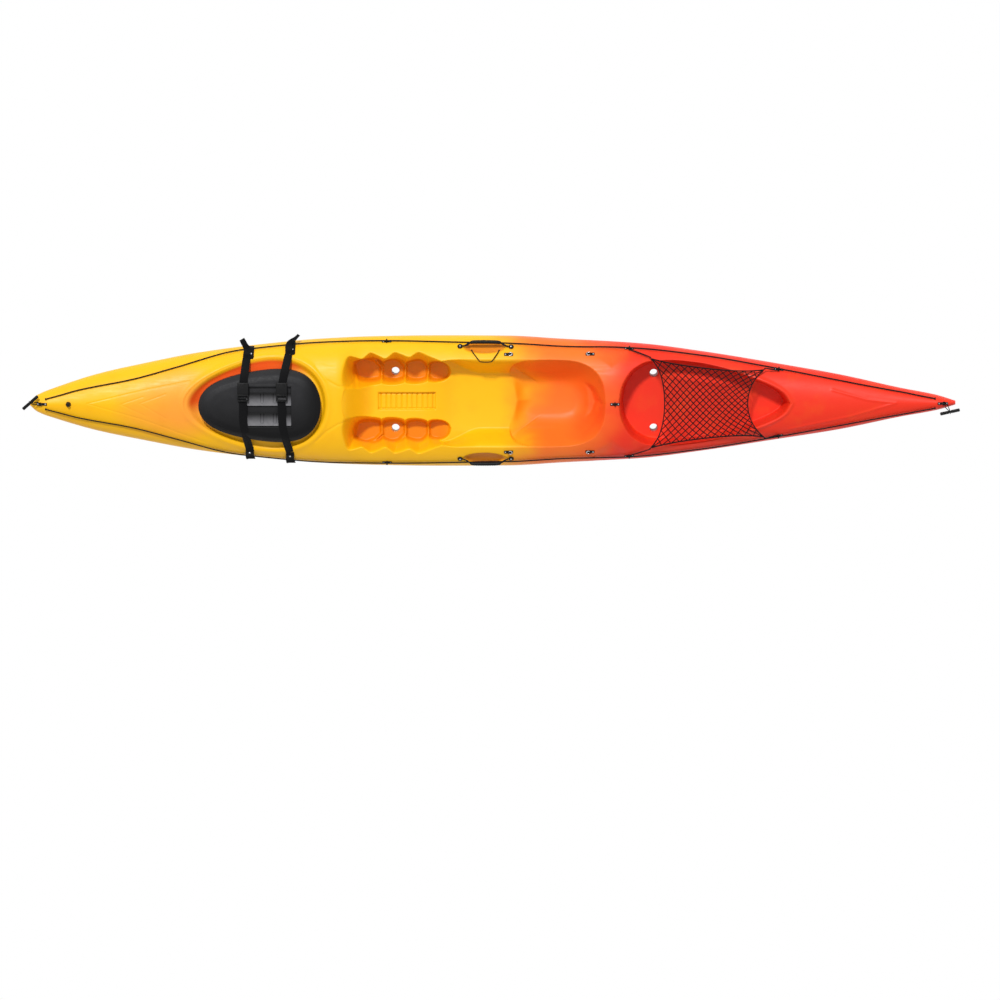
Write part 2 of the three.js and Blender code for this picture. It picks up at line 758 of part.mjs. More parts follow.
// A band whose two edges are given point by point.
function band(edges, thick) {
  const middles = edges.map(([a, b]) => a.clone().lerp(b, 1 / 2));
  const rings = edges.map(([a, b], i) => {
    const run = middles[Math.min(i + 1, edges.length - 1)].clone().sub(middles[Math.max(i - 1, 0)]);
    const out = new THREE.Vector3().crossVectors(b.clone().sub(a), run).setLength(thick / 2);
    return [a.clone().sub(out), b.clone().sub(out), b.clone().add(out), a.clone().add(out)];
  });
  return solidOf(loft(rings));
}

// A band along a path across the boat, with its width along X.
function strapBand(path) {
  const half = new THREE.Vector3(strap.width / 2, 0, 0);
  return band(path.map((p) => [p.clone().sub(half), p.clone().add(half)]), strap.thick);
}

function roundedPlate(length, width, height, corner) {
  const x = length / 2;
  const y = width / 2;
  const shape = new THREE.Shape();
  shape.moveTo(-x + corner, -y);
  shape.lineTo(x - corner, -y).quadraticCurveTo(x, -y, x, -y + corner);
  shape.lineTo(x, y - corner).quadraticCurveTo(x, y, x - corner, y);
  shape.lineTo(-x + corner, y).quadraticCurveTo(-x, y, -x, y - corner);
  shape.lineTo(-x, -y + corner).quadraticCurveTo(-x, -y, -x + corner, -y);
  return solidOf(new THREE.ExtrudeGeometry(shape, { depth: height, bevelEnabled: false, curveSegments: 1 }));
}

function turned(profile, sides) {
  const geometry = new THREE.LatheGeometry(profile.map(([r, z]) => new THREE.Vector2(r, z)), sides);
  geometry.rotateX(Math.PI / 2);
  return solidOf(geometry);
}

// Padeyes: a plate with an arch that its cord passes under

const eyeRadius = (wire) => wire * cord.eyeShare;
const eyeHeight = (wire) => padeye.thick + eyeRadius(wire);
const eyeOf = (seat, wire) => seat.point.clone().addScaledVector(seat.normal, eyeHeight(wire));

// The arch stands across the plate, or along it when its cord passes across.
function padeyeSolid(length, width, wire, lengthwise) {
  const plate = roundedPlate(length, width, padeye.thick, width * padeye.cornerShare);
  const reach = eyeRadius(wire) + padeye.wall;
  const arch = spread(padeye.arch + 1, (i) => {
    const angle = (Math.PI * i) / padeye.arch;
    const side = reach * Math.cos(angle);
    const height = eyeHeight(wire) + reach * Math.sin(angle);
    return new THREE.Vector3(lengthwise ? side : 0, lengthwise ? 0 : side, height);
  });
  const foot = (p) => p.clone().setZ(padeye.thick / 2);
  return plate.add(tube([foot(arch[0]), ...arch, foot(arch.at(-1))], padeye.wall, padeye.steps, padeye.sides));
}

const lineY = (x, side) => side * beamAt(x) * along(lineShares, x / halfLength);
const lineSlope = (x, side) => (
  (lineY(x + padeye.length, side) - lineY(x - padeye.length, side)) / (2 * padeye.length));

function addPadeye(name, x, y, slope, wire, lengthwise) {
  const seat = seatFor(x, y, padeye.length, padeye.width, slope);
  stand(add(name, padeyeSolid(padeye.length, padeye.width, wire, lengthwise), "black"), seat);
  return seat;
}

function addSeatRing(name, seat, way) {
  const ring = new THREE.TorusGeometry(seatRing.radius, seatRing.wire, seatRing.sides, seatRing.steps);
  ring.translate(way * seatRing.radius, 0, 0);
  ring.rotateY(way * seatRing.droop);
  ring.translate(0, 0, eyeHeight(seatRing.wire));
  stand(add(name, solidOf(ring), "steel"), seat);
}

const sides = { port: -1, starboard: 1 };
const lineEyes = { port: [], starboard: [] };
const netSeats = {};
for (const [name, side] of Object.entries(sides)) {
  const places = {
    line_padeye: linePadeye.place,
    net_padeye_front: tankWell.bow + netPadeye.bowInset,
    net_padeye_rear: tankWell.stern - netPadeye.sternInset,
  };
  for (const [kind, x] of Object.entries(places)) {
    const seat = addPadeye(kind + "_" + name, x, lineY(x, side), lineSlope(x, side), cord.radius, false);
    lineEyes[name].push({ ...seat, eye: eyeOf(seat, cord.radius) });
    netSeats[kind + "_" + name] = seat;
  }
  for (const [end, x, way] of [["front", seatPadeye.bow, 1], ["rear", seatPadeye.stern, -1]]) {
    const part = "seat_padeye_" + end + "_" + name;
    const seat = addPadeye(part, x, side * seatPadeye.side, 0, seatRing.wire, true);
    addSeatRing("seat_ring_" + end + "_" + name, seat, way);
  }
}
addPadeye("centre_padeye", centrePadeye.place, 0, 0, cord.radius, false);

// Deck lines: over the deck at the height of the eyes, and straight through each of them

function deckPoint(x, y, lift) {
  const reach = fit.gap;
  const alongFall = deckAt(x - reach, y) - deckAt(x + reach, y);
  const fall = new THREE.Vector3(alongFall, deckAt(x, y - reach) - deckAt(x, y + reach), 2 * reach);
  return new THREE.Vector3(x, y, deckAt(x, y)).addScaledVector(fall.normalize(), lift);
}

function lineRoute(name, side) {
  const bow = line.bowInset - halfLength;
  const stern = halfLength - line.sternInset;
  const free = spread(line.points, (i) => mix(bow, stern, i / (line.points - 1)))
    .filter((x) => lineEyes[name].every(({ eye }) => Math.abs(eye.x - x) > 2 * padeye.length))
    .map((x) => deckPoint(x, lineY(x, side), eyeHeight(cord.radius) + fit.seat));
  const through = lineEyes[name].flatMap(({ eye, run }) => (
    [-1, 0, 1].map((way) => eye.clone().addScaledVector(run, way * padeye.length))));
  return [...free, ...through].sort((a, b) => a.x - b.x);
}

for (const [name, side] of Object.entries(sides)) {
  const route = lineRoute(name, side);
  const ends = [route[0], route.at(-1)].map((p) => knotAt(p, line.knot));
  add("deck_line_" + name, union([tube(route, cord.radius, line.steps, cord.sides), ...ends]), "black");
}

// End padeyes and toggle grips

function toggleBar() {
  const half = toggle.length / 2;
  const { radius, waist, waistLength, endShare, chamfer } = toggle;
  return turned([
    [0, -half], [radius * endShare, -half], [radius, chamfer - half], [radius, -waistLength],
    [waist, -waistLength / 2], [waist, waistLength / 2], [radius, waistLength], [radius, half - chamfer],
    [radius * endShare, half], [0, half],
  ], toggle.sides).rotate([0, 90, 0]);
}

// The cord loop passes across the eye, comes round both of its sides and goes round the grip's waist.
function addToggle(name, place, spot) {
  const seat = seatFor(place, 0, endPadeye.length, endPadeye.width);
  const plate = padeyeSolid(endPadeye.length, endPadeye.width, toggle.loopWire, true);
  stand(add(name + "_padeye", plate, "black"), seat);
  const pivot = eyeOf(seat, toggle.loopWire);
  const bar = add(name + "_toggle", toggleBar(), "black");
  bar.position.copy(pivot).add(new THREE.Vector3(spot.along, spot.across, spot.rise));
  bar.rotation.set(0, -spot.pitch, spot.yaw, "ZYX");
  bar.updateMatrixWorld(true);
  const middle = bar.position;
  const outward = Math.sign(spot.along);
  const way = middle.clone().sub(pivot).normalize();
  const barAxis = new THREE.Vector3(1, 0, 0).applyQuaternion(bar.quaternion);
  const over = new THREE.Vector3().crossVectors(barAxis, way).normalize();
  const ahead = new THREE.Vector3().crossVectors(over, barAxis).normalize();
  const round = (turn) => {
    const ring = toggle.waist + eyeRadius(toggle.loopWire) + fit.gap;
    const across = middle.clone().addScaledVector(ahead, ring * Math.cos(turn));
    return across.addScaledVector(over, ring * Math.sin(turn));
  };
  const flip = over.y < 0 ? -1 : 1;
  const beside = (side) => {
    const at = (x, y) => pivot.clone().add(new THREE.Vector3(outward * x, side * y, 0));
    const apart = new THREE.Vector3(-way.y, way.x, 0).setLength(Math.sign(way.x) * side * toggle.bend);
    const lead = pivot.clone().add(new THREE.Vector3(...spot.lead, 0)).add(apart);
    const turn = at(toggle.bend * toggle.bendShare, toggle.bend);
    return [at(0, toggle.bend / 2), turn, at(toggle.leg, toggle.bend), lead];
  };
  const turns = toggle.wrap.map((turn) => round(flip * turn));
  const points = [...beside(1), ...turns, ...beside(-1).reverse()];
  const loop = cordRing(points, toggle.loopWire, toggle.loopSteps, toggle.loopSides);
  add(name + "_toggle_cord", loop, "black");
}
addToggle("bow", endPadeye.bowInset - halfLength, bowToggle);
addToggle("stern", halfLength - endPadeye.sternInset, sternToggle);

// Drain bung

const bungRise = Math.max(...[-1, 1].map((way) => shellAt(bungPlace + way * (bung.head + fit.gap), 0).z));
const bungMesh = add("drain_bung", turned([
  [0, -bung.shank], [bung.shankRadius, -bung.shank], [bung.shankRadius, 0], [bung.head, 0],
  [bung.head, bung.brim], [bung.head * bung.shoulderShare, bung.height - bung.brim / 2],
  [bung.head * bung.tipShare, bung.height], [0, bung.height],
], bung.sides), "black");
bungMesh.position.set(bungPlace, 0, bungRise + fit.gap);

// Hatch seal and lid

const lidOutline = egg(hatch.centre, hatch.length, hatch.width, hatch.points);
const sealOuter = grown(lidOutline, seal.reach);
const sealInner = grown(lidOutline, -seal.inset);
const sealLow = lidOutline.map((p, i) => {
  const heights = [sealOuter[i], p, sealInner[i]].map((q) => shellAt(q.x, q.y).z);
  return Math.max(...heights) + seal.lift;
});

function sealRing() {
  const body = (outline, spare) => solidOf(loft([-spare, seal.thick + spare].map((rise) => (
    outline.map((p, i) => new THREE.Vector3(p.x, p.y, sealLow[i] + rise))))));
  return body(sealOuter, 0).subtract(body(sealInner, fit.overrun));
}
add("hatch_seal", sealRing(), "rubber");

// The lid's skirt follows the seal, and its top is level.
function lidDome(inset, foot) {
  const outline = widened(lidOutline, -inset);
  const low = sealLow.map((height) => height + seal.thick + seal.lift);
  const rings = [outline.map((p, i) => new THREE.Vector3(p.x, p.y, low[i] - foot))];
  for (const [inShare, upShare] of domeShares) {
    const ring = widened(outline, -inShare * lid.shoulder);
    const height = (i) => mix(low[i] + lid.band, lidTop - inset, upShare);
    rings.push(ring.map((p, i) => new THREE.Vector3(p.x, p.y, height(i))));
  }
  return solidOf(loft(rings));
}

// A bar in the lid's tray whose top rises to port, with two grooves over it.
function trayBar(index) {
  const { tray } = lid;
  const profile = new THREE.Shape();
  const low = lidTop - tray.depth - fit.gap;
  const edge = tray.width * (1 / 2 - tray.insetShare - index * tray.pitchShare);
  const farEdge = edge - tray.width * tray.barShare;
  profile.moveTo(edge, low);
  profile.lineTo(farEdge, low);
  profile.lineTo(farEdge, lidTop - tray.barHigh);
  profile.lineTo(edge, lidTop - tray.barLow);
  const depth = tray.length + 2 * fit.gap;
  const geometry = new THREE.ExtrudeGeometry(profile, { depth, bevelEnabled: false });
  geometry.rotateX(Math.PI / 2);
  geometry.rotateZ(Math.PI / 2);
  geometry.translate(tray.centre - depth / 2, tray.side, 0);
  const grooves = [-1, 1].map((way) => block(
    tray.centre + way * tray.length * tray.grooveShare, tray.side, lidTop - tray.barHigh,
    tray.groove, tray.width, tray.groove));
  return solidOf(geometry).subtract(union(grooves));
}

function makeLid() {
  const { tray } = lid;
  const room = (grow) => block(
    tray.centre, tray.side, lidTop, tray.length + 2 * grow, tray.width + 2 * grow, 2 * (tray.depth + grow));
  const hollow = lidDome(lid.wall, fit.overrun).subtract(room(lid.wall));
  return lidDome(0, 0).subtract(hollow).subtract(room(0)).add(trayBar(0)).add(trayBar(1));
}
const lidMesh = add("hatch_lid", makeLid(), "black");

// Hatch straps: a taut band over deck and lid, parted at its buckle

// The upper hull of the heights under the band, from one anchor to the other.
function tautPath(x) {
  const anchor = beamAt(x) * strap.anchorShare;
  const count = Math.round((2 * anchor) / strap.step);
  const under = spread(count + 1, (i) => {
    const y = mix(-anchor, anchor, i / count);
    const heights = edgeShares.map((share) => topOf([lidMesh, hullMesh], x + share * strap.width, y));
    return new THREE.Vector3(x, y, Math.max(...heights));
  });
  const taut = [];
  for (const p of under) {
    while (taut.length > 1) {
      const a = taut.at(-2);
      const b = taut.at(-1);
      if ((b.y - a.y) * (p.z - a.z) < (b.z - a.z) * (p.y - a.y)) break;
      taut.pop();
    }
    taut.push(p);
  }
  return taut.map((p, i) => {
    const next = taut[Math.min(i + 1, taut.length - 1)];
    const run = new THREE.Vector3().subVectors(next, taut[Math.max(i - 1, 0)]);
    const out = new THREE.Vector3(0, -run.z, run.y).normalize();
    return p.clone().addScaledVector(out, strap.thick / 2 + strap.clearance);
  });
}

// The part of a path between two places across the boat.
function between(path, from, to) {
  const at = (y) => {
    const i = path.findIndex((p) => p.y > y);
    return path[i - 1].clone().lerp(path[i], (y - path[i - 1].y) / (path[i].y - path[i - 1].y));
  };
  return [at(from), ...path.filter((p) => p.y > from + strap.thick && p.y < to - strap.thick), at(to)];
}

function addStrap(name, x) {
  const path = tautPath(x);
  const end = beamAt(x) * strap.anchorShare - strap.screwRadius - fit.cordGap;
  add("strap_" + name + "_port", strapBand(between(path, -end, buckle.from)), "webbing");
  add("strap_" + name + "_starboard", strapBand(between(path, buckle.to, end)), "webbing");
  const marks = [buckle.from, buckle.parting, buckle.to];
  const heights = marks.map((y) => between(path, y, y + strap.step)[0].z);
  const low = Math.max(...heights) - strap.thick / 2;
  const plate = (from, to, width, height, rise) => (
    roundedPlate(width, to - from, height, Math.min(buckle.corner, height))
      .translate([x, (from + to) / 2, low + rise]));
  const { parting, corner, play, tongueReach, tongueWidth, tongueHeight } = buckle;
  const rise = (buckle.height - tongueHeight) / 2;
  const tongue = plate(buckle.from + fit.gap, parting - fit.gap, buckle.width, buckle.height, 0)
    .add(plate(parting - corner, parting + tongueReach, tongueWidth, tongueHeight, rise));
  const slotEnd = parting + tongueReach + 2 * play;
  const slot = plate(parting - corner, slotEnd, tongueWidth + 2 * play, tongueHeight + 2 * play, rise - play);
  add("buckle_tongue_" + name, tongue, "black");
  const socket = plate(parting + fit.gap, buckle.to - fit.gap, buckle.width, buckle.height, 0);
  add("buckle_socket_" + name, socket.subtract(slot), "black");
}
for (const [name, x] of Object.entries(strap.places)) addStrap(name, x);

// Strap anchors: the webbing's end under its screw and over the deck line, hanging down to port
// and standing out to starboard

function addAnchor(name, x, side) {
  const inner = beamAt(x) * strap.anchorShare;
  const line = Math.abs(lineY(x, side));
  const over = eyeHeight(cord.radius) + cord.radius + strap.thick;
  const reach = side < 0 ? strap.tabReach : strap.tailReach;
  const drop = side < 0 ? strap.tabDrop : strap.tailDrop;
  const half = strap.width / 2;
  const edge = (way, y, lift) => {
    const top = Math.max(deckAt(x + way * half, y), deckAt(x, y));
    const seat = new THREE.Vector3(x + way * half, side * y, top);
    return seat.add(deckPoint(x, side * y, lift).sub(deckPoint(x, side * y, 0)));
  };
  const at = (y, lift) => [edge(-side, y, lift), edge(side, y, lift)];
  const low = strap.thick + strap.clearance;
  const crest = at(line, over);
  const outer = crest.map((p) => p.clone().add(new THREE.Vector3(0, side * reach, -drop)));
  const screwed = [at(inner - strap.screwRadius, low), at(inner + strap.screwRadius, low)];
  const points = [...screwed, at(line - cord.radius, over), crest, outer];
  const seat = seatFor(x, side * inner, 2 * strap.screwRadius, 2 * strap.screwRadius);
  const cap = turned([
    [0, 0], [strap.screwRadius, 0], [strap.screwRadius, 2 * strap.thick + low], [0, 2 * strap.thick + low],
  ], strap.screwSides);
  add(name, band(points, strap.thick).add(stoodSolid(cap, seat)), "webbing");
}
for (const [place, x] of Object.entries(strap.places)) {
  for (const [name, side] of Object.entries(sides)) addAnchor("strap_anchor_" + place + "_" + name, x, side);
}

// Carry handles: webbing through a moulded grip, between two screwed caps

function addHandle(name, side) {
  const cap = turned([
    [0, 0], [handle.capRadius, 0], [handle.capRadius, handle.capHeight * handle.capShare],
    [handle.screwRadius, handle.capHeight], [0, handle.capHeight],
  ], handle.capSides);
  const ends = [["_cap_front", -1], ["_cap_rear", 1]].map(([suffix, way]) => {
    const x = handle.centre + (way * handle.span) / 2;
    const y = side * beamAt(x) * handle.seatShare;
    const seat = seatFor(x, y, 2 * handle.capRadius, 2 * handle.capRadius);
    stand(add("handle_" + name + suffix, cap, "black"), seat);
    return seat.point.clone().addScaledVector(seat.normal, handle.lift);
  });
  const middle = ends[0].clone().lerp(ends[1], 1 / 2);
  const span = ends[1].clone().sub(ends[0]);
  const reachShare = 1 - (2 * (handle.capRadius + fit.cordGap)) / handle.span;
  const out = new THREE.Vector3(0, side * Math.cos(handle.lean), Math.sin(handle.lean));
  const wide = new THREE.Vector3(0, -Math.sin(handle.lean), side * Math.cos(handle.lean));
  const at = (share) => middle.clone()
    .addScaledVector(span, (share * reachShare) / 2)
    .addScaledVector(out, handle.arch * along(archShares, share));
  const webbing = (spare) => band(spread(handle.points, (i) => {
    const share = mix(-1, 1, i / (handle.points - 1));
    const half = (handle.webbing * along(bandShares, share)) / 2 + spare;
    return [at(share).addScaledVector(wide, -half), at(share).addScaledVector(wide, half)];
  }), handle.thick + 2 * spare);
  const { gripRadius, gripShare, gripSteps, gripSides } = handle;
  const spine = spread(gripSteps + 1, (i) => at(gripShare * mix(-1, 1, i / gripSteps)));
  const grip = tube(spine, gripRadius, gripSteps, gripSides).subtract(webbing(fit.cordGap));
  add("handle_" + name + "_webbing", webbing(0), "webbing");
  add("handle_" + name + "_grip", grip, "black");
}
for (const [name, side] of Object.entries(sides)) addHandle(name, side);

// Tank net: a sheet of crossing strands with a hemmed edge

const netPoint = (s, t) => {
  const half = mix(net.bowHalf, net.sternHalf, s) - net.sideDip * s * (1 - s);
  const bow = tankWell.bow + net.bowInset + net.bowDip * (1 - t * t);
  const stern = tankWell.stern - net.sternInset - net.sternDip * (1 - t * t);
  return new THREE.Vector2(mix(bow, stern, s), half * t);
};
const netHeight = (p) => hull.deckHeight - net.drop + net.crown * (1 - (p.y / net.bowHalf) ** 2);

function makeNet() {
  const long = 2 * net.rows;
  const wide = 2 * net.columns;
  const nodes = new Map();
  for (let i = 0; i <= long; i += 1) {
    for (let j = i % 2; j <= wide; j += 2) {
      nodes.set(i + "," + j, { i, j, at: netPoint(i / long, (2 * j) / wide - 1), links: [] });
    }
  }
  const steps = [[1, 1], [1, -1], [-1, 1], [-1, -1]];
  for (const node of nodes.values()) {
    const { i, j } = node;
    const rims = [];
    if (i === 0 || i === long) rims.push([0, 2], [0, -2]);
    if (j === 0 || j === wide) rims.push([2, 0], [-2, 0]);
    node.links = [...steps, ...rims].map(([a, b]) => nodes.get(i + a + "," + (j + b))).filter(Boolean)
      .map((to) => ({ to, angle: to.at.clone().sub(node.at).angle() }))
      .sort((a, b) => a.angle - b.angle);
  }
  const places = [];
  const faces = [];
  // Each corner of a crossing lies between two neighbouring strands.
  for (const node of nodes.values()) {
    node.corners = node.links.map((link, k) => {
      const next = node.links[(k + 1) % node.links.length];
      const open = (next.angle - link.angle + 2 * Math.PI) % (2 * Math.PI);
      const reach = new THREE.Vector2(net.cord / 2 / Math.sin(open / 2), 0);
      const corner = node.at.clone().add(reach.rotateAround(new THREE.Vector2(), link.angle + open / 2));
      const pair = [-1, 1].map((way) => (
        new THREE.Vector3(corner.x, corner.y, netHeight(corner) + (way * net.thick) / 2)));
      return places.push(...pair) - pair.length;
    });
  }
  const plate = (ring) => {
    for (let k = 1; k < ring.length - 1; k += 1) {
      faces.push(ring[0] + 1, ring[k] + 1, ring[k + 1] + 1);
      faces.push(ring[k + 1], ring[k], ring[0]);
    }
  };
  for (const node of nodes.values()) {
    const count = node.links.length;
    plate(node.corners);
    node.links.forEach(({ to }, k) => {
      const back = to.links.findIndex((link) => link.to === node);
      const before = node.corners[(k + count - 1) % count];
      const after = to.corners[back];
      faces.push(before, after, after + 1, before, after + 1, before + 1);
      if (node.i < to.i || (node.i === to.i && node.j < to.j)) {
        plate([before, after, to.corners[(back + to.links.length - 1) % to.links.length], node.corners[k]]);
      }
    });
  }
  const geometry = new THREE.BufferGeometry().setFromPoints(places);
  geometry.setIndex(faces);
  return solidOf(geometry);
}
add("tank_net", makeNet(), "webbing");

// Net ties: from each corner of the net to the padeye beside it

for (const [end, s, kind] of [["front", 0, "net_padeye_front_"], ["rear", 1, "net_padeye_rear_"]]) {
  for (const [name, side] of Object.entries(sides)) {
    const corner = netPoint(s, side);
    const seat = netSeats[kind + name];
    const eye = eyeOf(seat, cord.radius);
    const inward = new THREE.Vector3().crossVectors(seat.normal, seat.run).multiplyScalar(-side);
    const from = eye.addScaledVector(inward, tie.off);
    const away = new THREE.Vector3(s === 0 ? -1 : 1, side, 0).setLength(tie.knot + net.cord);
    const to = new THREE.Vector3(corner.x, corner.y, netHeight(corner)).add(away);
    const strand = tube([from, from.clone().lerp(to, 1 / 2), to], tie.radius, tie.steps, tie.sides);
    const solids = [strand, knotAt(from, tie.knot), knotAt(to, tie.knot)];
    add("net_tie_" + end + "_" + name, union(solids), "black");
  }
}

// Paddle bungee on the starboard gunwale

function makeBungee() {
  const rim = (y) => y > cockpit.wallHalf;
  const hang = hull.deckHeight - bungee.drop;
  const over = (x, y) => {
    const top = rim(y) ? deckAt(x, y) : topOf([hullMesh], x, y);
    return new THREE.Vector3(x, y, Math.max(top + bungee.lift, hang));
  };
  const leg = (end, middle) => spread(bungee.samples + 1, (i) => (
    over(mix(end, middle, i / bungee.samples), mix(bungee.outer, bungee.inner, i / bungee.samples))));
  const forward = leg(bungee.ends[0], bungee.middle[0]);
  const points = [...forward, ...leg(bungee.ends[1], bungee.middle[1]).reverse()];
  const ends = [points[0], points.at(-1)];
  for (const end of ends) end.setZ(topOf([hullMesh], end.x, end.y) + bungee.endLift);
  const strand = tube(points, bungee.radius, bungee.steps, cord.sides);
  return union([strand, ...ends.map((end) => knotAt(end, bungee.knot))]);
}
add("paddle_bungee", makeBungee(), "black");

export default root;
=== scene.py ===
import math

import bmesh
import bpy
import numpy as np
from mathutils import Matrix, Vector


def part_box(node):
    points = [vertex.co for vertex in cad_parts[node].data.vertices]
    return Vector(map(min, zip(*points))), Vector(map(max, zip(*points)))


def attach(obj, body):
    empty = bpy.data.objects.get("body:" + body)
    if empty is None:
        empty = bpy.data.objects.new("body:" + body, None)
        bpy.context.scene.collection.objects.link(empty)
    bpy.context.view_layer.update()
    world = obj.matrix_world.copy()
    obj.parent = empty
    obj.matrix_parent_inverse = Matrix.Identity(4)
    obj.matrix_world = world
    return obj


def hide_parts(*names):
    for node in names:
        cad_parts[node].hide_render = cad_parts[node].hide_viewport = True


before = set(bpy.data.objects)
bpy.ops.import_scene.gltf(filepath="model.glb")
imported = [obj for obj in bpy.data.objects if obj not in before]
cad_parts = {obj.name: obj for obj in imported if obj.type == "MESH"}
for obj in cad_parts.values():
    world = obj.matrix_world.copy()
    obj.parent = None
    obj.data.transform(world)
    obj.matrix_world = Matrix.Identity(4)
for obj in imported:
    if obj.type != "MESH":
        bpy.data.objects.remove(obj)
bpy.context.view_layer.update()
scene = bpy.context.scene
print("frame loaded")

# Camera: above the deck and a little to starboard, with a long lens. The photograph is 1000 pixels
# square, and one of them is 4.875 mm of the boat
camera = {
    "scale": 0.004875, "centre": (493.0, 396.7), "middle": 500, "tilt": 0.122, "lens": 200.0, "sensor": 36,
    "level": 0.2, "near": 1, "far": 100,
}


def makeCamera():
    data = bpy.data.cameras.new("camera")
    data.lens = camera["lens"]
    data.sensor_width = camera["sensor"]
    piece = bpy.data.objects.new("camera", data)
    scene.collection.objects.link(piece)
    back = Vector((0, camera["tilt"], 1)).normalized()
    up = Vector((0, 1, -camera["tilt"])).normalized()
    spread = camera["middle"] * camera["scale"]
    away = spread / (camera["sensor"] / 2 / camera["lens"])
    middle = Vector(((camera["middle"] - camera["centre"][0]) * camera["scale"], 0, 0))
    middle += up * ((camera["centre"][1] - camera["middle"]) * camera["scale"])
    piece.location = middle + back * (away + camera["level"])
    side = Vector((1, 0, 0))
    piece.rotation_euler = Matrix((side, up, back)).transposed().to_euler()
    data.clip_start = camera["near"]
    data.clip_end = camera["far"]
    scene.camera = piece


makeCamera()

# Meshes are worked out in millimetres and become metres in makePiece


def makePiece(name, parts, material, body="hull", stands=(), sharp=None):
    points = np.concatenate([p for p, _ in parts])
    groups = []
    start = 0
    for p, faces in parts:
        groups += [f + start for f in faces]
        start += len(p)
    mesh = bpy.data.meshes.new(name)
    mesh.vertices.add(len(points))
    mesh.vertices.foreach_set("co", (points * 0.001).astype(np.float32).ravel())
    counts = np.concatenate([np.full(len(f), f.shape[1]) for f in groups])
    corners = np.concatenate([f.ravel() for f in groups])
    mesh.loops.add(len(corners))
    mesh.loops.foreach_set("vertex_index", corners.astype(np.int32))
    mesh.polygons.add(len(counts))
    mesh.polygons.foreach_set("loop_start", (np.cumsum(counts) - counts).astype(np.int32))
    mesh.update(calc_edges=True)
    mesh.validate()
    mesh.polygons.foreach_set("use_smooth", np.ones(len(mesh.polygons), bool))
    if sharp is not None:
        mesh.set_sharp_from_angle(angle=math.radians(sharp))
    piece = bpy.data.objects.new(name, mesh)
    scene.collection.objects.link(piece)
    mesh.materials.append(material)
    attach(piece, body)
    if stands:
        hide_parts(*stands)
    return piece


# Four-sided faces over a grid of points, closed round either way where asked
def gridFaces(rows, columns, closedRows=False, closedColumns=False):
    r = np.arange(rows if closedRows else rows - 1)
    c = np.arange(columns if closedColumns else columns - 1)
    r, c = np.meshgrid(r, c, indexing="ij")
    below, beside = (r + 1) % rows, (c + 1) % columns
    corners = [r * columns + c, below * columns + c, below * columns + beside, r * columns + beside]
    return np.stack(corners, -1).reshape(-1, 4)


# The part's own axes become x, y and z, and its own zero becomes the origin
def placed(part, origin, x, y, z):
    return part[0] @ np.array([x, y, z], float) + np.array(origin, float), part[1]


def unit(v):
    v = np.asarray(v, float)
    return v / np.linalg.norm(v, axis=-1, keepdims=True)


# How far along its path each point lies
def runOf(path):
    return np.concatenate([[0], np.cumsum(np.linalg.norm(np.diff(path, axis=0), axis=1))])


def spaced(path, count, ends=True):
    run = runOf(path)
    at = np.linspace(0, run[-1], count, endpoint=ends)
    return np.stack([np.interp(at, run, path[:, k]) for k in range(3)], -1)


curveSteps = 24


# Points evenly along a curve through the given ones: each span is a cubic whose end slopes come from


# the spans beside it, weighed by the square roots of their lengths
def smoothPath(points, count, closed=False):
    p = np.asarray(points, float)
    if closed:
        p = np.concatenate([p[-1:], p, p[:2]])
    else:
        p = np.concatenate([2 * p[:1] - p[1:2], p, 2 * p[-1:] - p[-2:-1]])
    t = np.linspace(0, 1, curveSteps, endpoint=False)[:, None]
    found = []
    for a, b, c, d in zip(p[:-3], p[1:-2], p[2:-1], p[3:]):
        k = [max(np.linalg.norm(v), 1e-6) ** 0.5 for v in (b - a, c - b, d - c)]
        first = (b - a) / k[0] - (c - a) / (k[0] + k[1]) + (c - b) / k[1]
        last = (c - b) / k[1] - (d - b) / (k[1] + k[2]) + (d - c) / k[2]
        first, last = first * k[1], last * k[1]
        squared = 3 * (c - b) - 2 * first - last
        cubed = 2 * (b - c) + first + last
        found.append(b + first * t + squared * t ** 2 + cubed * t ** 3)
    return spaced(np.concatenate([*found, p[-2:-1]]), count, not closed)


# Each point's run, and two directions across it that don't twist
def framesAlong(path, closed=False, up=None):
    ahead = np.roll(path, -1, 0) - np.roll(path, 1, 0)
    if not closed:
        ahead[0], ahead[-1] = path[1] - path[0], path[-1] - path[-2]
    run = unit(ahead)
    if up is not None:
        side = unit(np.cross(np.broadcast_to(up, run.shape), run))
        return run, side, np.cross(run, side)
    side = np.zeros_like(run)
    side[0] = unit(np.cross(run[0], (0, 0, 1) if abs(run[0][2]) < 0.9 else (1, 0, 0)))
    for i in range(1, len(run)):
        kept = side[i - 1] - run[i] * (side[i - 1] @ run[i])
        side[i] = unit(kept)
    if closed:
        over = np.cross(run[0], side[-1])
        gap = math.atan2(side[0] @ over, side[0] @ side[-1])
        turn = np.linspace(0, gap, len(run))[:, None]
        side = side * np.cos(turn) + np.cross(run, side) * np.sin(turn)
    return run, side, np.cross(run, side)


# Along a cord's rounded end: shares of its way, how far it reaches and how narrow its tip is
cordEnd = {"shares": np.array([0.0, 0.6, 0.9]), "reach": 0.9, "tip": 0.35}


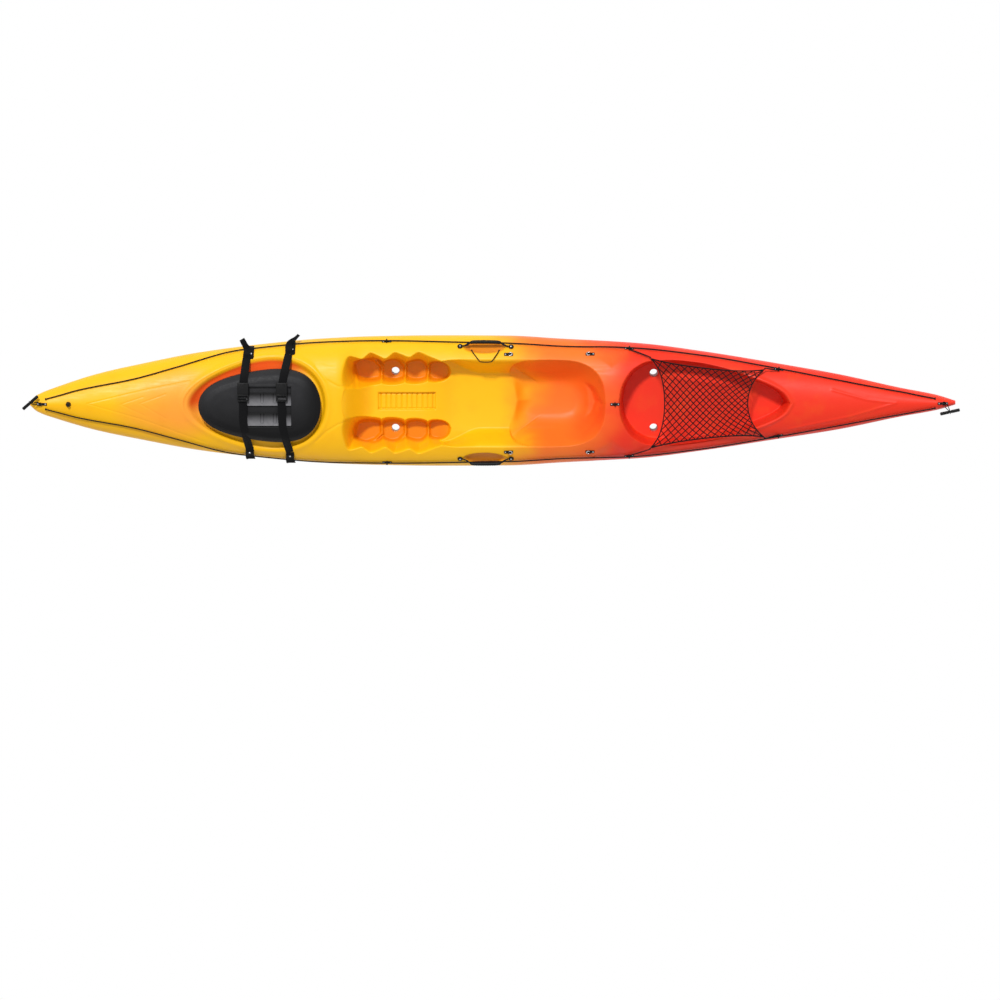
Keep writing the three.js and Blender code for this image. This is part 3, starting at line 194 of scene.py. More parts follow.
# A round cord: a circle carried along its path, with rounded ends where it isn't closed
def tube(path, radius, sides=14, closed=False, up=None):
    path = np.asarray(path, float)
    radii = np.broadcast_to(np.asarray(radius, float), (len(path),)).copy()
    if not closed:
        run = unit(path[[1, -1]] - path[[0, -2]])
        caps = cordEnd["shares"]
        narrow = cordEnd["tip"] + (1 - cordEnd["tip"]) * caps
        first = path[0] - run[0] * radii[0] * (1 - caps[:, None]) * cordEnd["reach"]
        last = path[-1] + run[1] * radii[-1] * (1 - caps[::-1, None]) * cordEnd["reach"]
        path = np.concatenate([first, path, last])
        radii = np.concatenate([radii[0] * narrow, radii, radii[-1] * narrow[::-1]])
    _, side, over = framesAlong(path, closed, up)
    angle = np.linspace(0, 2 * math.pi, sides, endpoint=False)
    ring = side[:, None] * np.cos(angle)[:, None] + over[:, None] * np.sin(angle)[:, None]
    points = (path[:, None] + ring * radii[:, None, None]).reshape(-1, 3)
    faces = [gridFaces(len(path), sides, closed, True)[:, ::-1]]
    if not closed:
        faces.append(np.arange(sides)[None, ::-1])
        faces.append((len(path) - 1) * sides + np.arange(sides)[None])
    return points, faces


softEdge = 0.45


# Webbing: a flat band with soft edges along its path, wide in the given direction at each point
def ribbon(path, widths, thick, wide):
    path = np.asarray(path, float)
    run, _, _ = framesAlong(path)
    wide = unit(np.broadcast_to(np.asarray(wide, float), path.shape))
    wide = unit(wide - run * np.sum(wide * run, -1, keepdims=True))
    out = np.cross(run, wide)
    half = np.broadcast_to(np.asarray(widths, float) / 2, (len(path),))
    t, c = thick / 2, thick * softEdge
    profile = np.array([
        (-1, 0, -0.4), (-1, 0, 0.4), (-1, c, 1), (-0.5, 0, 1), (0, 0, 1), (0.5, 0, 1), (1, -c, 1),
        (1, 0, 0.4), (1, 0, -0.4), (1, -c, -1), (0, 0, -1), (-1, c, -1),
    ])
    place = profile[:, 0][None] * half[:, None] + profile[:, 1][None]
    depth = (profile[:, 2] * t)[None, :, None]
    points = path[:, None] + wide[:, None] * place[..., None] + out[:, None] * depth
    sides = len(profile)
    ends = [np.arange(sides)[None], (len(path) - 1) * sides + np.arange(sides)[None, ::-1]]
    return points.reshape(-1, 3), [gridFaces(len(path), sides, False, True), *ends]


# A turned piece about its own Z, from pairs of radius and height
def lathe(profile, sides=32):
    profile = np.asarray(profile, float)
    angle = np.linspace(0, 2 * math.pi, sides, endpoint=False)
    points = np.stack([
        profile[:, 0][:, None] * np.cos(angle), profile[:, 0][:, None] * np.sin(angle),
        np.broadcast_to(profile[:, 1][:, None], (len(profile), sides)),
    ], -1).reshape(-1, 3)
    faces = [gridFaces(len(profile), sides, False, True)[:, ::-1]]
    faces.append(np.arange(sides)[None, ::-1])
    faces.append((len(profile) - 1) * sides + np.arange(sides)[None])
    return points, faces


# A box about its own middle with round edges
def roundedBox(size, radius, steps=3):
    made = bmesh.new()
    bmesh.ops.create_cube(made, size=1)
    for v in made.verts:
        v.co = Vector((v.co.x * size[0], v.co.y * size[1], v.co.z * size[2]))
    bmesh.ops.bevel(made, geom=made.edges[:], offset=radius, segments=steps, profile=0.5, affect="EDGES")
    made.verts.index_update()
    points = np.array([v.co for v in made.verts])
    by = {}
    for f in made.faces:
        by.setdefault(len(f.verts), []).append([v.index for v in f.verts])
    made.free()
    return points, [np.array(f) for f in by.values()]


def moved(part, x=0, y=0, z=0):
    return part[0] + np.array([x, y, z], float), part[1]


# Materials


# A screen colour from 0 to 255 as light
def tint(r, g, b):
    c = np.array([r, g, b]) / 255
    c = np.where(c <= 0.04045, c / 12.92, ((c + 0.055) / 1.055) ** 2.4)
    return (*c, 1.0)


class Shader:
    def __init__(self, name, **values):
        self.material = bpy.data.materials.new(name)
        self.material.use_nodes = True
        self.tree = self.material.node_tree
        self.base = self.tree.nodes["Principled BSDF"]
        self.coordinates = None
        for key, value in values.items():
            self.base.inputs[key.replace("_", " ")].default_value = value

    def add(self, kind, inputs=(), **values):
        made = self.tree.nodes.new(kind)
        for key, value in values.items():
            setattr(made, key, value)
        for key, value in dict(inputs).items():
            if isinstance(value, bpy.types.NodeSocket):
                self.tree.links.new(value, made.inputs[key])
            else:
                made.inputs[key].default_value = value
        return made

    def place(self):
        if self.coordinates is None:
            self.coordinates = self.add("ShaderNodeTexCoord").outputs["Object"]
        return self.coordinates

    def stretched(self, x, y, z):
        return self.add("ShaderNodeMapping", {"Vector": self.place(), "Scale": (x, y, z)}).outputs["Vector"]

    def noise(self, scale, detail=3.0, rough=0.55, vector=None):
        inputs = {"Vector": vector or self.place(), "Scale": scale, "Detail": detail, "Roughness": rough}
        return self.add("ShaderNodeTexNoise", inputs).outputs["Fac"]

    def math(self, kind, a, b=0.0, c=0.0, clamp=False):
        return self.add("ShaderNodeMath", {0: a, 1: b, 2: c}, operation=kind, use_clamp=clamp).outputs[0]

    def times(self, *values):
        made = values[0]
        for value in values[1:]:
            made = self.math("MULTIPLY", made, value)
        return made

    def squares(self, a, b):
        return self.math("ADD", self.times(a, a), self.times(b, b))

    def xyz(self):
        return self.add("ShaderNodeSeparateXYZ", {"Vector": self.place()}).outputs

    # The distance along a band or cord, and the place across or round it
    def alongAcross(self):
        uv = self.add("ShaderNodeUVMap", uv_map="along").outputs["UV"]
        return self.add("ShaderNodeSeparateXYZ", {"Vector": uv}).outputs

    def ramp(self, value, low, high, toLow=0.0, toHigh=1.0):
        inputs = {"Value": value, "From Min": low, "From Max": high, "To Min": toLow, "To Max": toHigh}
        return self.add("ShaderNodeMapRange", inputs, interpolation_type="SMOOTHSTEP").outputs["Result"]

    def mixed(self, share, a, b):
        node = self.add("ShaderNodeMix", data_type="RGBA")
        for key, value in ((0, share), (6, a), (7, b)):
            if isinstance(value, bpy.types.NodeSocket):
                self.tree.links.new(value, node.inputs[key])
            else:
                node.inputs[key].default_value = value
        return node.outputs[2]

    def set(self, key, value):
        self.tree.links.new(value, self.base.inputs[key])

    def bump(self, height, distance, strength=1.0):
        node = self.add("ShaderNodeBump", {"Height": height, "Distance": distance, "Strength": strength})
        before = self.base.inputs["Normal"].links
        if before:
            self.tree.links.new(before[0].from_socket, node.inputs["Normal"])
        self.tree.links.new(node.outputs["Normal"], self.base.inputs["Normal"])


# Colours, among them tints for painted shade, the stretches over which each gives way to the next in metres
# from the middle, and places and sizes of the patches and of the painted shade
shellLook = {
    "yellow": tint(255, 190, 12), "peach": tint(255, 158, 56), "orange": tint(250, 118, 36),
    "red": tint(238, 50, 26), "deep": tint(230, 122, 8), "recessShadeTint": tint(226, 78, 2),
    "pocket": tint(222, 118, 2),
    "warm": (0.0, 0.28), "hot": (0.36, 0.66), "drift": 0.4, "peachAt": 1.52, "peachScale": (3.0, 5.5),
    "hatchAt": 1.147, "hatchHalves": (0.332, 0.204), "footAt": 0.45, "scoopAt": (0.042, 0.27),
    "scoopScale": (9.6, 34.0), "rough": (0.36, 0.52), "recessShadeRough": 0.35,
}


# Three colours of plastic that run into each other from bow to stern, with cloudy borders
def makeShell():
    look = shellLook
    s = Shader("shell_plastic", Specular_IOR_Level=0.26)
    x, y, z = s.xyz()
    cloud = s.math("SUBTRACT", s.noise(2.2, 3, vector=s.stretched(1, 1.6, 1.6)), 0.5)
    drift = s.math("MULTIPLY_ADD", cloud, look["drift"], x)
    colour = s.mixed(s.ramp(drift, *look["warm"]), look["yellow"], look["orange"])
    colour = s.mixed(s.ramp(drift, *look["hot"]), colour, look["red"])
    # A peach cloud on the foredeck, between the bow grooves and the hatch
    ahead = s.times(s.math("ADD", x, look["peachAt"]), look["peachScale"][0])
    apart = s.squares(ahead, s.times(y, look["peachScale"][1]))
    patch = s.math("SUBTRACT", 1.0, s.math("ADD", apart, s.times(cloud, 1.2)), clamp=True)
    colour = s.mixed(s.times(patch, s.ramp(z, 0.2, 0.26), 0.9), colour, look["peach"])
    # Painted shade and painted bounce light: the hatch recess's wall is tinted a deeper orange-red, strongest
    # to starboard and bow, where its own wall shades it and throws colour on it
    eggX = s.times(s.math("ADD", x, look["hatchAt"]), 1 / look["hatchHalves"][0])
    swell = s.math("MULTIPLY_ADD", eggX, 0.3, 1.0)
    eggY = s.math("DIVIDE", s.times(y, 1 / look["hatchHalves"][1]), swell)
    ring = s.math("SQRT", s.squares(eggX, eggY))
    lee = s.ramp(s.math("MULTIPLY_ADD", eggX, -0.5, eggY), 0.05, 0.6)
    recessShade = s.times(s.ramp(ring, 0.66, 0.78), s.ramp(ring, 1.04, 0.95), lee)
    colour = s.mixed(recessShade, colour, look["recessShadeTint"])
    # Painted shade: the low pockets of the footwells and the finger scoops behind the handles are tinted a
    # deeper orange, where shade falls in them
    side = s.math("ABSOLUTE", y)
    low = s.times(s.ramp(z, 0.16, 0.105), s.ramp(z, 0.08, 0.088), s.ramp(side, 0.225, 0.21))
    pocket = s.times(low, s.ramp(s.math("ABSOLUTE", s.math("ADD", x, look["footAt"])), 0.3, 0.22))
    reachX = s.times(s.math("ADD", x, look["scoopAt"][0]), look["scoopScale"][0])
    reachY = s.times(s.math("SUBTRACT", side, look["scoopAt"][1]), look["scoopScale"][1])
    scoop = s.times(s.ramp(s.squares(reachX, reachY), 1.15, 0.6), s.ramp(z, 0.18, 0.2))
    pocket = s.math("MAXIMUM", pocket, scoop)
    colour = s.mixed(s.times(pocket, 0.85), colour, look["pocket"])
    colour = s.mixed(s.ramp(s.noise(9, 4), 0.45, 0.8, 0.0, 0.12), colour, look["deep"])
    s.set("Base Color", colour)
    scuff = s.ramp(s.noise(60, 5, 0.7, s.stretched(0.2, 1, 1)), 0.3, 0.75, *look["rough"])
    # The roughness rises where the hatch recess has its painted shade
    s.set("Roughness", s.math("MULTIPLY_ADD", recessShade, look["recessShadeRough"], scuff))
    s.bump(s.noise(900, 2), 0.00012, 0.5)
    s.bump(s.noise(14, 2), 0.001, 0.35)
    return s.material


# A fitting's plastic or rubber, cloudy in colour and finely grained
def makePlastic(name, colour, rough, grain, fleck, shine):
    s = Shader(name, Specular_IOR_Level=shine)
    shade = s.noise(45, 4)
    light = tuple(min(1.0, c * (1 + 2 * fleck) + 0.001) for c in colour[:3]) + (1.0,)
    s.set("Base Color", s.mixed(s.ramp(shade, 0.35, 0.75, 0.0, fleck), colour, light))
    s.set("Roughness", s.ramp(s.noise(120, 3), 0.3, 0.7, rough - 0.06, rough + 0.08))
    s.bump(s.noise(grain, 2), 0.00015, 0.6)
    return s.material


# Painted light and painted shade: the lid is palest along its crown, which faces the light, and near black
# down its port side and round its aft rim, which face away from it
def makeLidPlastic():
    s = Shader("lid_plastic", Specular_IOR_Level=0.14)
    x, y, _ = s.xyz()
    crown = s.times(s.ramp(y, -0.15, 0.12), s.ramp(x, -0.86, -0.95))
    cloud = s.ramp(s.noise(30, 4), 0.3, 0.75, 0.8, 1.0)
    s.set("Base Color", s.mixed(s.times(crown, cloud), tint(9, 9, 10), tint(44, 44, 46)))
    s.set("Roughness", s.ramp(s.noise(120, 3), 0.3, 0.7, 0.46, 0.6))
    s.bump(s.noise(1500, 2), 0.00015, 0.6)
    return s.material


# Ribs along the band and picks across it, in the band's own lengthwise and sideways distances
def makeWebbing():
    s = Shader("webbing_weave", Roughness=0.86, Specular_IOR_Level=0.12, Sheen_Weight=0.04)
    run, across, _ = s.alongAcross()
    picks = s.math("SINE", s.times(run, 2600.0))
    ribs = s.math("SINE", s.times(across, 2100.0))
    weave = s.math("MULTIPLY_ADD", s.times(picks, ribs), 0.5, 0.5)
    s.set("Base Color", s.mixed(s.times(weave, 0.6), tint(6, 6, 7), tint(20, 20, 22)))
    s.bump(weave, 0.0005, 0.8)
    s.bump(s.noise(30, 2), 0.002, 0.3)
    return s.material


# A braid: two slanting sets of strands round the cord
def makeCord():
    s = Shader("cord_braid", Roughness=0.75, Specular_IOR_Level=0.12, Sheen_Weight=0.03)
    run, around, _ = s.alongAcross()
    length = s.times(run, 1400.0)
    turns = s.times(around, 6 * 2 * math.pi)
    one = s.math("SINE", s.math("ADD", length, turns))
    other = s.math("SINE", s.math("SUBTRACT", length, turns))
    weave = s.math("MULTIPLY_ADD", s.math("MAXIMUM", one, other), 0.5, 0.5)
    s.set("Base Color", s.mixed(weave, tint(4, 4, 5), tint(20, 20, 22)))
    s.bump(weave, 0.0004, 0.8)
    return s.material


# Painted shadow and painted light: each shelf goes from dark at its starboard edge, in the shadow of the tray
# wall or the shelf beside it, to pale grey at its port edge, which catches the light
def makeShelfPlastic():
    s = Shader("shelf_plastic", Roughness=0.55, Specular_IOR_Level=0.15)
    share = s.math("FRACT", s.math("MULTIPLY_ADD", s.xyz()[1], -1 / 0.098, 60 / 98))
    pale = s.mixed(s.ramp(s.noise(60, 4), 0.35, 0.7, 0, 0.4), tint(122, 121, 124), tint(98, 98, 102))
    s.set("Base Color", s.mixed(s.ramp(share, 0.02, 0.6), tint(9, 9, 10), pale))
    s.bump(s.noise(2000, 2), 0.0001, 0.5)
    return s.material


# Bright metal with faint smears
def makeSteel():
    s = Shader("steel", Metallic=1.0)
    s.set("Base Color", s.mixed(s.ramp(s.noise(80, 3), 0.3, 0.7), tint(205, 208, 212), tint(172, 176, 182)))
    s.set("Roughness", s.ramp(s.noise(200, 3), 0.3, 0.7, 0.16, 0.32))
    s.bump(s.noise(700, 2), 0.00005, 0.4)
    return s.material


shell = makeShell()
lidPlastic = makeLidPlastic()
blackPlastic = makePlastic("fitting_plastic", tint(10, 10, 11), 0.42, 2400, 0.3, 0.18)
sealRubber = makePlastic("seal_rubber", tint(15, 15, 17), 0.62, 1800, 0.1, 0.15)
shelfPlastic = makeShelfPlastic()
webbing = makeWebbing()
cordBraid = makeCord()
steel = makeSteel()


# Keeps each vertex's distance along and across its band or cord, for the weave
def alongMap(piece, along, across):
    layer = piece.data.uv_layers.new(name="along")
    corner = np.zeros(len(piece.data.loops), np.int32)
    piece.data.loops.foreach_get("vertex_index", corner)
    layer.data.foreach_set("uv", np.stack([along[corner], across[corner]], -1).astype(np.float32).ravel())


# A cord's distances: its path's run, spread over its rings of points, and the share round each ring
def cordMap(piece, path, sides=12):
    count = len(piece.data.vertices) // sides
    run = runOf(path) * 0.001
    if count != len(path):
        run = np.interp(np.linspace(0, len(path) - 1, count), np.arange(len(path)), run)
    alongMap(piece, np.repeat(run, sides), np.tile(np.arange(sides) / sides, count))


# The same with an equal step from ring to ring, for knots and bundles
def evenMap(piece, step, sides=12):
    count = len(piece.data.vertices) // sides
    alongMap(piece, np.repeat(np.arange(count) * step, sides), np.tile(np.arange(sides) / sides, count))


# The hull's tables: a share of the half length, from the bow at -1 to the stern at 1, with its value

halfLength, halfBeam, deckHeight = 2250.0, 320.0, 330.0
tables = {
    "plan": [(-1, .03), (-.985, .125), (-.94, .25), (-.855, .435), (-.765, .575), (-.635, .75), (-.5, .87),
             (-.375, .95), (-.245, .988), (-.11, 1), (.03, .995), (.145, .95), (.32, .88), (.45, .765),
             (.62, .575), (.75, .42), (.88, .223), (.96, .115), (1, .03)],
    "seam": [(-1, .845), (-.82, .642), (-.626, .548), (-.483, .49), (-.22, .448), (.197, .448), (.32, .467),
             (.557, .509), (.784, .633), (.96, .703), (1, .735)],
    "keel": [(-1, .81), (-.9945, .67), (-.9835, .497), (-.966, .327), (-.948, .22), (-.93, .165),
             (-.859, .082), (-.75, .03), (-.6, 0), (.45, 0), (.66, .028), (.8, .06), (.8916, .088),
             (.9218, .118), (.945, .18), (.967, .285), (.982, .433), (.993, .585), (1, .71)],
    "crown": [(-1, .87), (-.992, .92), (-.975, .965), (-.955, .985), (-.9, .975), (-.82, .955),
              (-.656, .965), (-.6, .99), (-.5, 1), (-.34, 1), (-.275, .9), (-.115, .94), (.015, .98),
              (.17, .955), (.26, .985), (.31, .955), (.37, .91), (.6, .89), (.8, .875), (.96, .865),
              (.985, .84), (1, .765)],
    "deckPower": [(-1, 1.6), (-.8, 1.65), (-.55, 2.3), (-.4, 2.5), (.5, 2.5), (.75, 2.1), (1, 1.8)],
    "bilgePower": [(-1, 1), (-.85, 1.3), (-.6, 2.2), (-.3, 3.2), (.3, 3.2), (.6, 2.4), (.85, 1.5), (1, 1.1)],
    "cockpit": [(0, 0), (.012, .28), (.05, .5), (.1, .62), (.2, .64), (.28, .68), (.36, .86), (.45, .93),
                (.62, .93), (.8, .92), (.88, .84), (.95, .62), (.985, .36), (1, 0)],
    "tank": [(0, 0), (.01, .3), (.035, .55), (.09, .82), (.18, .98), (.3, 1), (.45, .95), (.64, .79),
             (.79, .58), (.91, .37), (.97, .2), (1, 0)],
    "line": [(-.965, .36), (-.904, .556), (-.795, .63), (-.687, .774), (-.544, .94), (-.4, .945),
             (-.23, .93), (-.06, .903), (.145, .89), (.295, .916), (.45, .918), (.61, .875), (.773, .776),
             (.882, .72), (.954, .5)],
}


# A smooth curve through the table's pairs, with no overshoot between them
def along(name, at):
    t = np.array(tables[name], float)
    xs, ys = t[:, 0], t[:, 1]
    slope = np.diff(ys) / np.diff(xs)
    before, after = slope[:-1], slope[1:]
    total = before + after
    inner = np.where(before * after > 0, 2 * before * after / np.where(total == 0, 1, total), 0)
    tangent = np.concatenate([slope[:1], inner, slope[-1:]])
    at = np.clip(np.asarray(at, float), xs[0], xs[-1])
    i = np.clip(np.searchsorted(xs, at, side="right") - 1, 0, len(xs) - 2)
    width = xs[i + 1] - xs[i]
    w = (at - xs[i]) / width
    rise = w * w * (3 - 2 * w)
    bend = w * (1 - w) ** 2 * width * tangent[i] + w * w * (w - 1) * width * tangent[i + 1]
    return ys[i] + (ys[i + 1] - ys[i]) * rise + bend


def beamAt(x):
    return halfBeam * along("plan", x / halfLength)


def seamAt(x):
    return deckHeight * along("seam", x / halfLength)


def keelAt(x):
    return deckHeight * along("keel", x / halfLength)


def crownAt(x):
    return deckHeight * along("crown", x / halfLength)


# The deck falls from its crown to the seam like a flattened ellipse
def plainDeck(x, y):
    u = np.clip(np.abs(y) / beamAt(x), 0, 1)
    power = along("deckPower", x / halfLength)
    return seamAt(x) + (crownAt(x) - seamAt(x)) * np.sqrt(np.maximum(0, 1 - u ** power))


# 0 below the low value, 1 above the high one, and an easy S between them
def smooth(value, low=0.0, high=1.0):
    t = np.clip((value - low) / (high - low), 0, 1)
    return t * t * (3 - 2 * t)


# The lower of two heights, with the corner between them rounded over k
def softMin(a, b, k):
    h = np.clip(0.5 + 0.5 * (b - a) / k, 0, 1)
    return b + (a - b) * h - k * h * (1 - h)


# Each point's distance from a closed outline, its nearest place on it, and whether it lies inside
def reach(x, y, ring):
    best = np.full(x.shape, np.inf)
    nearX, nearY = x.copy(), y.copy()
    inside = np.zeros(x.shape, bool)
    for (ax, ay), (bx, by) in zip(ring, np.roll(ring, -1, 0)):
        dx, dy = bx - ax, by - ay
        size = dx * dx + dy * dy
        if size == 0:
            continue
        t = np.clip(((x - ax) * dx + (y - ay) * dy) / size, 0, 1)
        px, py = ax + t * dx, ay + t * dy
        d = (x - px) ** 2 + (y - py) ** 2
        near = d < best
        best = np.where(near, d, best)
        nearX, nearY = np.where(near, px, nearX), np.where(near, py, nearY)
        if dy:
            inside ^= ((ay > y) != (by > y)) & (x < dx * (y - ay) / dy + ax)
    return np.sqrt(best), nearX, nearY, inside


# Sinks a well into the heights: from its top outline to its foot outline the height goes from the


# rim's to the floor's, by an S or, for a bowl, by a power
def well(x, y, z, top, foot, rim, floor, soft=0.0, bowl=0.0):
    margin = 4
    low, high = top.min(0) - margin, top.max(0) + margin
    box = (x > low[0]) & (x < high[0]) & (y > low[1]) & (y < high[1])
    if not box.any():
        return z
    px, py = x[box], y[box]
    outDistance, nearX, nearY, inside = reach(px, py, top)
    inDistance, _, _, within = reach(px, py, foot)
    share = np.where(within, 1, outDistance / np.maximum(outDistance + inDistance, 1e-6))
    fall = 1 - (1 - share) ** bowl if bowl else smooth(share)
    sunk = rim(nearX, nearY) + (floor(px, py) - rim(nearX, nearY)) * fall
    sunk = np.where(inside, sunk, 1e4)  # far above the deck, so that nothing changes outside
    made = z.copy()
    made[box] = np.where(inside, softMin(z[box], sunk, soft) if soft else np.minimum(z[box], sunk), z[box])
    return made


# An outline made longer and wider by the distance on each side
def widened(ring, distance):
    low, high = ring.min(0), ring.max(0)
    middle, size = (low + high) / 2, high - low
    return middle + (ring - middle) * (1 + 2 * distance / size)


# An outline moved outwards by the distance, square to itself
def grown(ring, distance):
    ahead = np.roll(ring, -1, 0) - np.roll(ring, 1, 0)
    run = unit(ahead)
    area = np.sum(ring[:, 0] * np.roll(ring[:, 1], -1) - ring[:, 1] * np.roll(ring[:, 0], -1))
    turn = 1 if area > 0 else -1
    return ring + turn * distance * np.stack([run[:, 1], -run[:, 0]], -1)


outlinePoints = 160


# An outline from a table of its half widths, the same on both sides
def shareOutline(name, start, end, half):
    t = (1 - np.cos(np.linspace(0, math.pi, outlinePoints // 2 + 1))) / 2
    side = np.stack([start + (end - start) * t, half * along(name, t)], -1)
    return np.concatenate([side, side[-2:0:-1] * [1, -1]])


# An ellipse that is wider towards the stern
def egg(centre, length, width):
    angle = np.linspace(0, 2 * math.pi, outlinePoints, endpoint=False)
    half = width / 2 * np.sin(angle) * (1 + 0.3 * np.cos(angle))
    return np.stack([centre + length / 2 * np.cos(angle), half], -1)


# The hatch's and its recess's outlines: centre, length and width in millimetres
hatch = {
    "centre": -1133, "length": 592, "width": 352, "narrow": 0.94, "side": -8, "recess": (-1153, 688, 436),
    "depth": 24, "foot": 9, "mouth": 40,
}


# How much wider than an ellipse the lid is, from -1 at its bow to 1 at its stern
def lidSwell(share):
    return 1.03 + 0.25 * share + 0.25 * share * share


# The lid is blunt at both ends and lies a little to port in its recess
def lidShape(count=outlinePoints):
    angle = np.linspace(0, 2 * math.pi, count, endpoint=False)
    half = hatch["width"] / 2 * hatch["narrow"] * np.sin(angle) * lidSwell(np.cos(angle))
    return np.stack([hatch["centre"] + hatch["length"] / 2 * np.cos(angle), half + hatch["side"]], -1)


recessTop = egg(*hatch["recess"])
recessFoot = grown(lidShape(), hatch["foot"])
hatchEgg = egg(hatch["centre"], hatch["length"], hatch["width"])
mouthRing = grown(hatchEgg, -hatch["mouth"])

cockpit = {
    "bow": -742, "stern": 553, "wallHalf": 232, "footBow": -735, "footStern": 493, "footShares": (0.96, 0.6),
    "consoleHeight": 176, "padHeight": 150, "seatMiddle": 270, "seatReach": 230, "seatHalf": 212,
    "seatOut": 22, "seatFloorHalf": 66, "seatHeight": 97, "seatBowBow": 62, "seatTaper": 96,
}
cockpitTop = shareOutline("cockpit", cockpit["bow"], cockpit["stern"], cockpit["wallHalf"])


# The walls lean in more beside the seat than beside the footwells
def cockpitFootOf(ring):
    bow, stern = cockpit["footBow"], cockpit["footStern"]
    x = bow + (stern - bow) * (ring[:, 0] - cockpit["bow"]) / (cockpit["stern"] - cockpit["bow"])
    wide, narrow = cockpit["footShares"]
    return np.stack([x, ring[:, 1] * (wide + (narrow - wide) * smooth(x, -260, -60))], -1)


cockpitFoot = cockpitFootOf(cockpitTop)


# The console's height, down to the thigh pad's and up to the deck at the front, a little dished
def cockpitFloor(x, y):
    high, low = cockpit["consoleHeight"], cockpit["padHeight"]
    base = high + (low - high) * smooth(x, -350, -200)
    base = base + 7 * np.clip(np.abs(y) / 150, 0, 1) ** 2 - 3
    return base + (plainDeck(x, y) - base) * (1 - smooth(x, -745, -575))


# A squarish oval whose front edge bows aft at its middle
def seatOval(half, inset):
    angle = np.linspace(0, 2 * math.pi, outlinePoints, endpoint=False)
    power = np.where(np.cos(angle) < 0, 0.6, 0.72)
    run = np.sign(np.cos(angle)) * np.abs(np.cos(angle)) ** power
    y = half * np.sign(np.sin(angle)) * np.abs(np.sin(angle)) ** power
    bow = np.where(run < 0, -cockpit["seatBowBow"] * (1 - 1.4 * (y / half) ** 2) * run, 0)
    return np.stack([cockpit["seatMiddle"] + (cockpit["seatReach"] - inset) * run + bow, y], -1)


seatTop = seatOval(cockpit["seatHalf"], -cockpit["seatOut"]) + [cockpit["seatOut"], 0]
seatFoot = seatOval(cockpit["seatFloorHalf"], cockpit["seatTaper"])


# The seat's rim is the thigh pad in front and goes up to the deck beside and behind
def seatRim(x, y):
    pad = cockpit["padHeight"] + 3
    return pad + (plainDeck(x, y) - pad) * smooth(x, 75, 200)


# A shallow dish, more curved across than along
def seatFloor(x, y):
    return cockpit["seatHeight"] + 0.0009 * y * y + 0.0002 * (x - 300) ** 2


# Distances from the centre line are the same on both sides. The top runs along the gunwale in four
# steps, and the foot is a scalloped pocket under each step: its middle, half length, near and far side
footwell = {
    "top": [(-724, 58), (-724, 205), (-701, 232), (-669, 226), (-638, 217), (-618, 231), (-596, 247),
            (-560, 234), (-522, 219), (-502, 233), (-480, 249), (-444, 240), (-405, 227), (-385, 240),
            (-363, 251), (-315, 234), (-268, 213), (-200, 190), (-128, 158), (-96, 132), (-104, 108),
            (-180, 92), (-260, 66)],
    "pockets": [(-606, 66, 112, 200), (-487, 52, 110, 194), (-373, 50, 108, 189), (-266, 46, 106, 184)],
    "ridges": [[(-654, 70), (-701, 234)], [(-545, 92), (-543, 165), (-575, 196), (-638, 219)],
               [(-429, 92), (-427, 165), (-458, 198), (-522, 220)],
               [(-318, 92), (-315, 168), (-342, 201), (-405, 228)]],
    "ridge": 16, "ridgeHalf": 8, "height": 94, "sternRise": 50, "toeRise": 60,
}


def footTop(side):
    ring = np.array(footwell["top"], float)
    ring = smoothPath(np.column_stack([ring, 0 * ring[:, 0]]), 220, True)[:, :2]
    return ring * [1, side]


# One outline round all the pockets, from the outer sides to the inner
def footFoot(side):
    turn = np.linspace(0, math.pi, 24)
    outer, inner = [], []
    for x, half, near, far in footwell["pockets"]:
        middle = (near + far) / 2
        outer += [(x - half * math.cos(a), middle + (far - middle) * math.sin(a) ** 0.8) for a in turn]
        arc = [(x + half * math.cos(a), middle - (middle - near) * math.sin(a) ** 0.6) for a in turn]
        inner.insert(0, arc)
    inner = sum(inner, [])
    return np.array(outer + inner) * [1, side]


# The distance from an outline, positive inside it
def roomIn(x, y, ring):
    distance, _, _, inside = reach(x, y, ring)
    return np.where(inside, distance, -distance)


# A footwell's floor: a ridge down from each notch, a higher face ahead of the first,


# and a rise aft to the cockpit floor
def footFloor(x, y):
    s = np.abs(y)
    floor = footwell["height"] + 5 * smooth(x, -700, -330) + footwell["sternRise"] * smooth(x, -300, -120)
    ahead = -701 + 47 * (232 - s) / 162 - x  # from the first ridge's line
    floor = floor + footwell["toeRise"] * smooth(ahead, 0, 34)
    for ridge in footwell["ridges"]:
        away = segmentDistance(x, s, ridge)
        floor = floor + footwell["ridge"] * np.exp(-(away / footwell["ridgeHalf"]) ** 2)
    return floor


tank = {"bow": 609, "stern": 1445, "half": 210, "taper": 26, "height": 140}
tankTop = shareOutline("tank", tank["bow"], tank["stern"], tank["half"])
tankFoot = widened(tankTop, -tank["taper"])


# The distance from a line of points
def segmentDistance(x, y, points):
    best = np.full(x.shape, 1e9)
    for (ax, ay), (bx, by) in zip(points[:-1], points[1:]):
        dx, dy = bx - ax, by - ay
        t = np.clip(((x - ax) * dx + (y - ay) * dy) / (dx * dx + dy * dy), 0, 1)
        best = np.minimum(best, np.hypot(x - ax - t * dx, y - ay - t * dy))
    return best


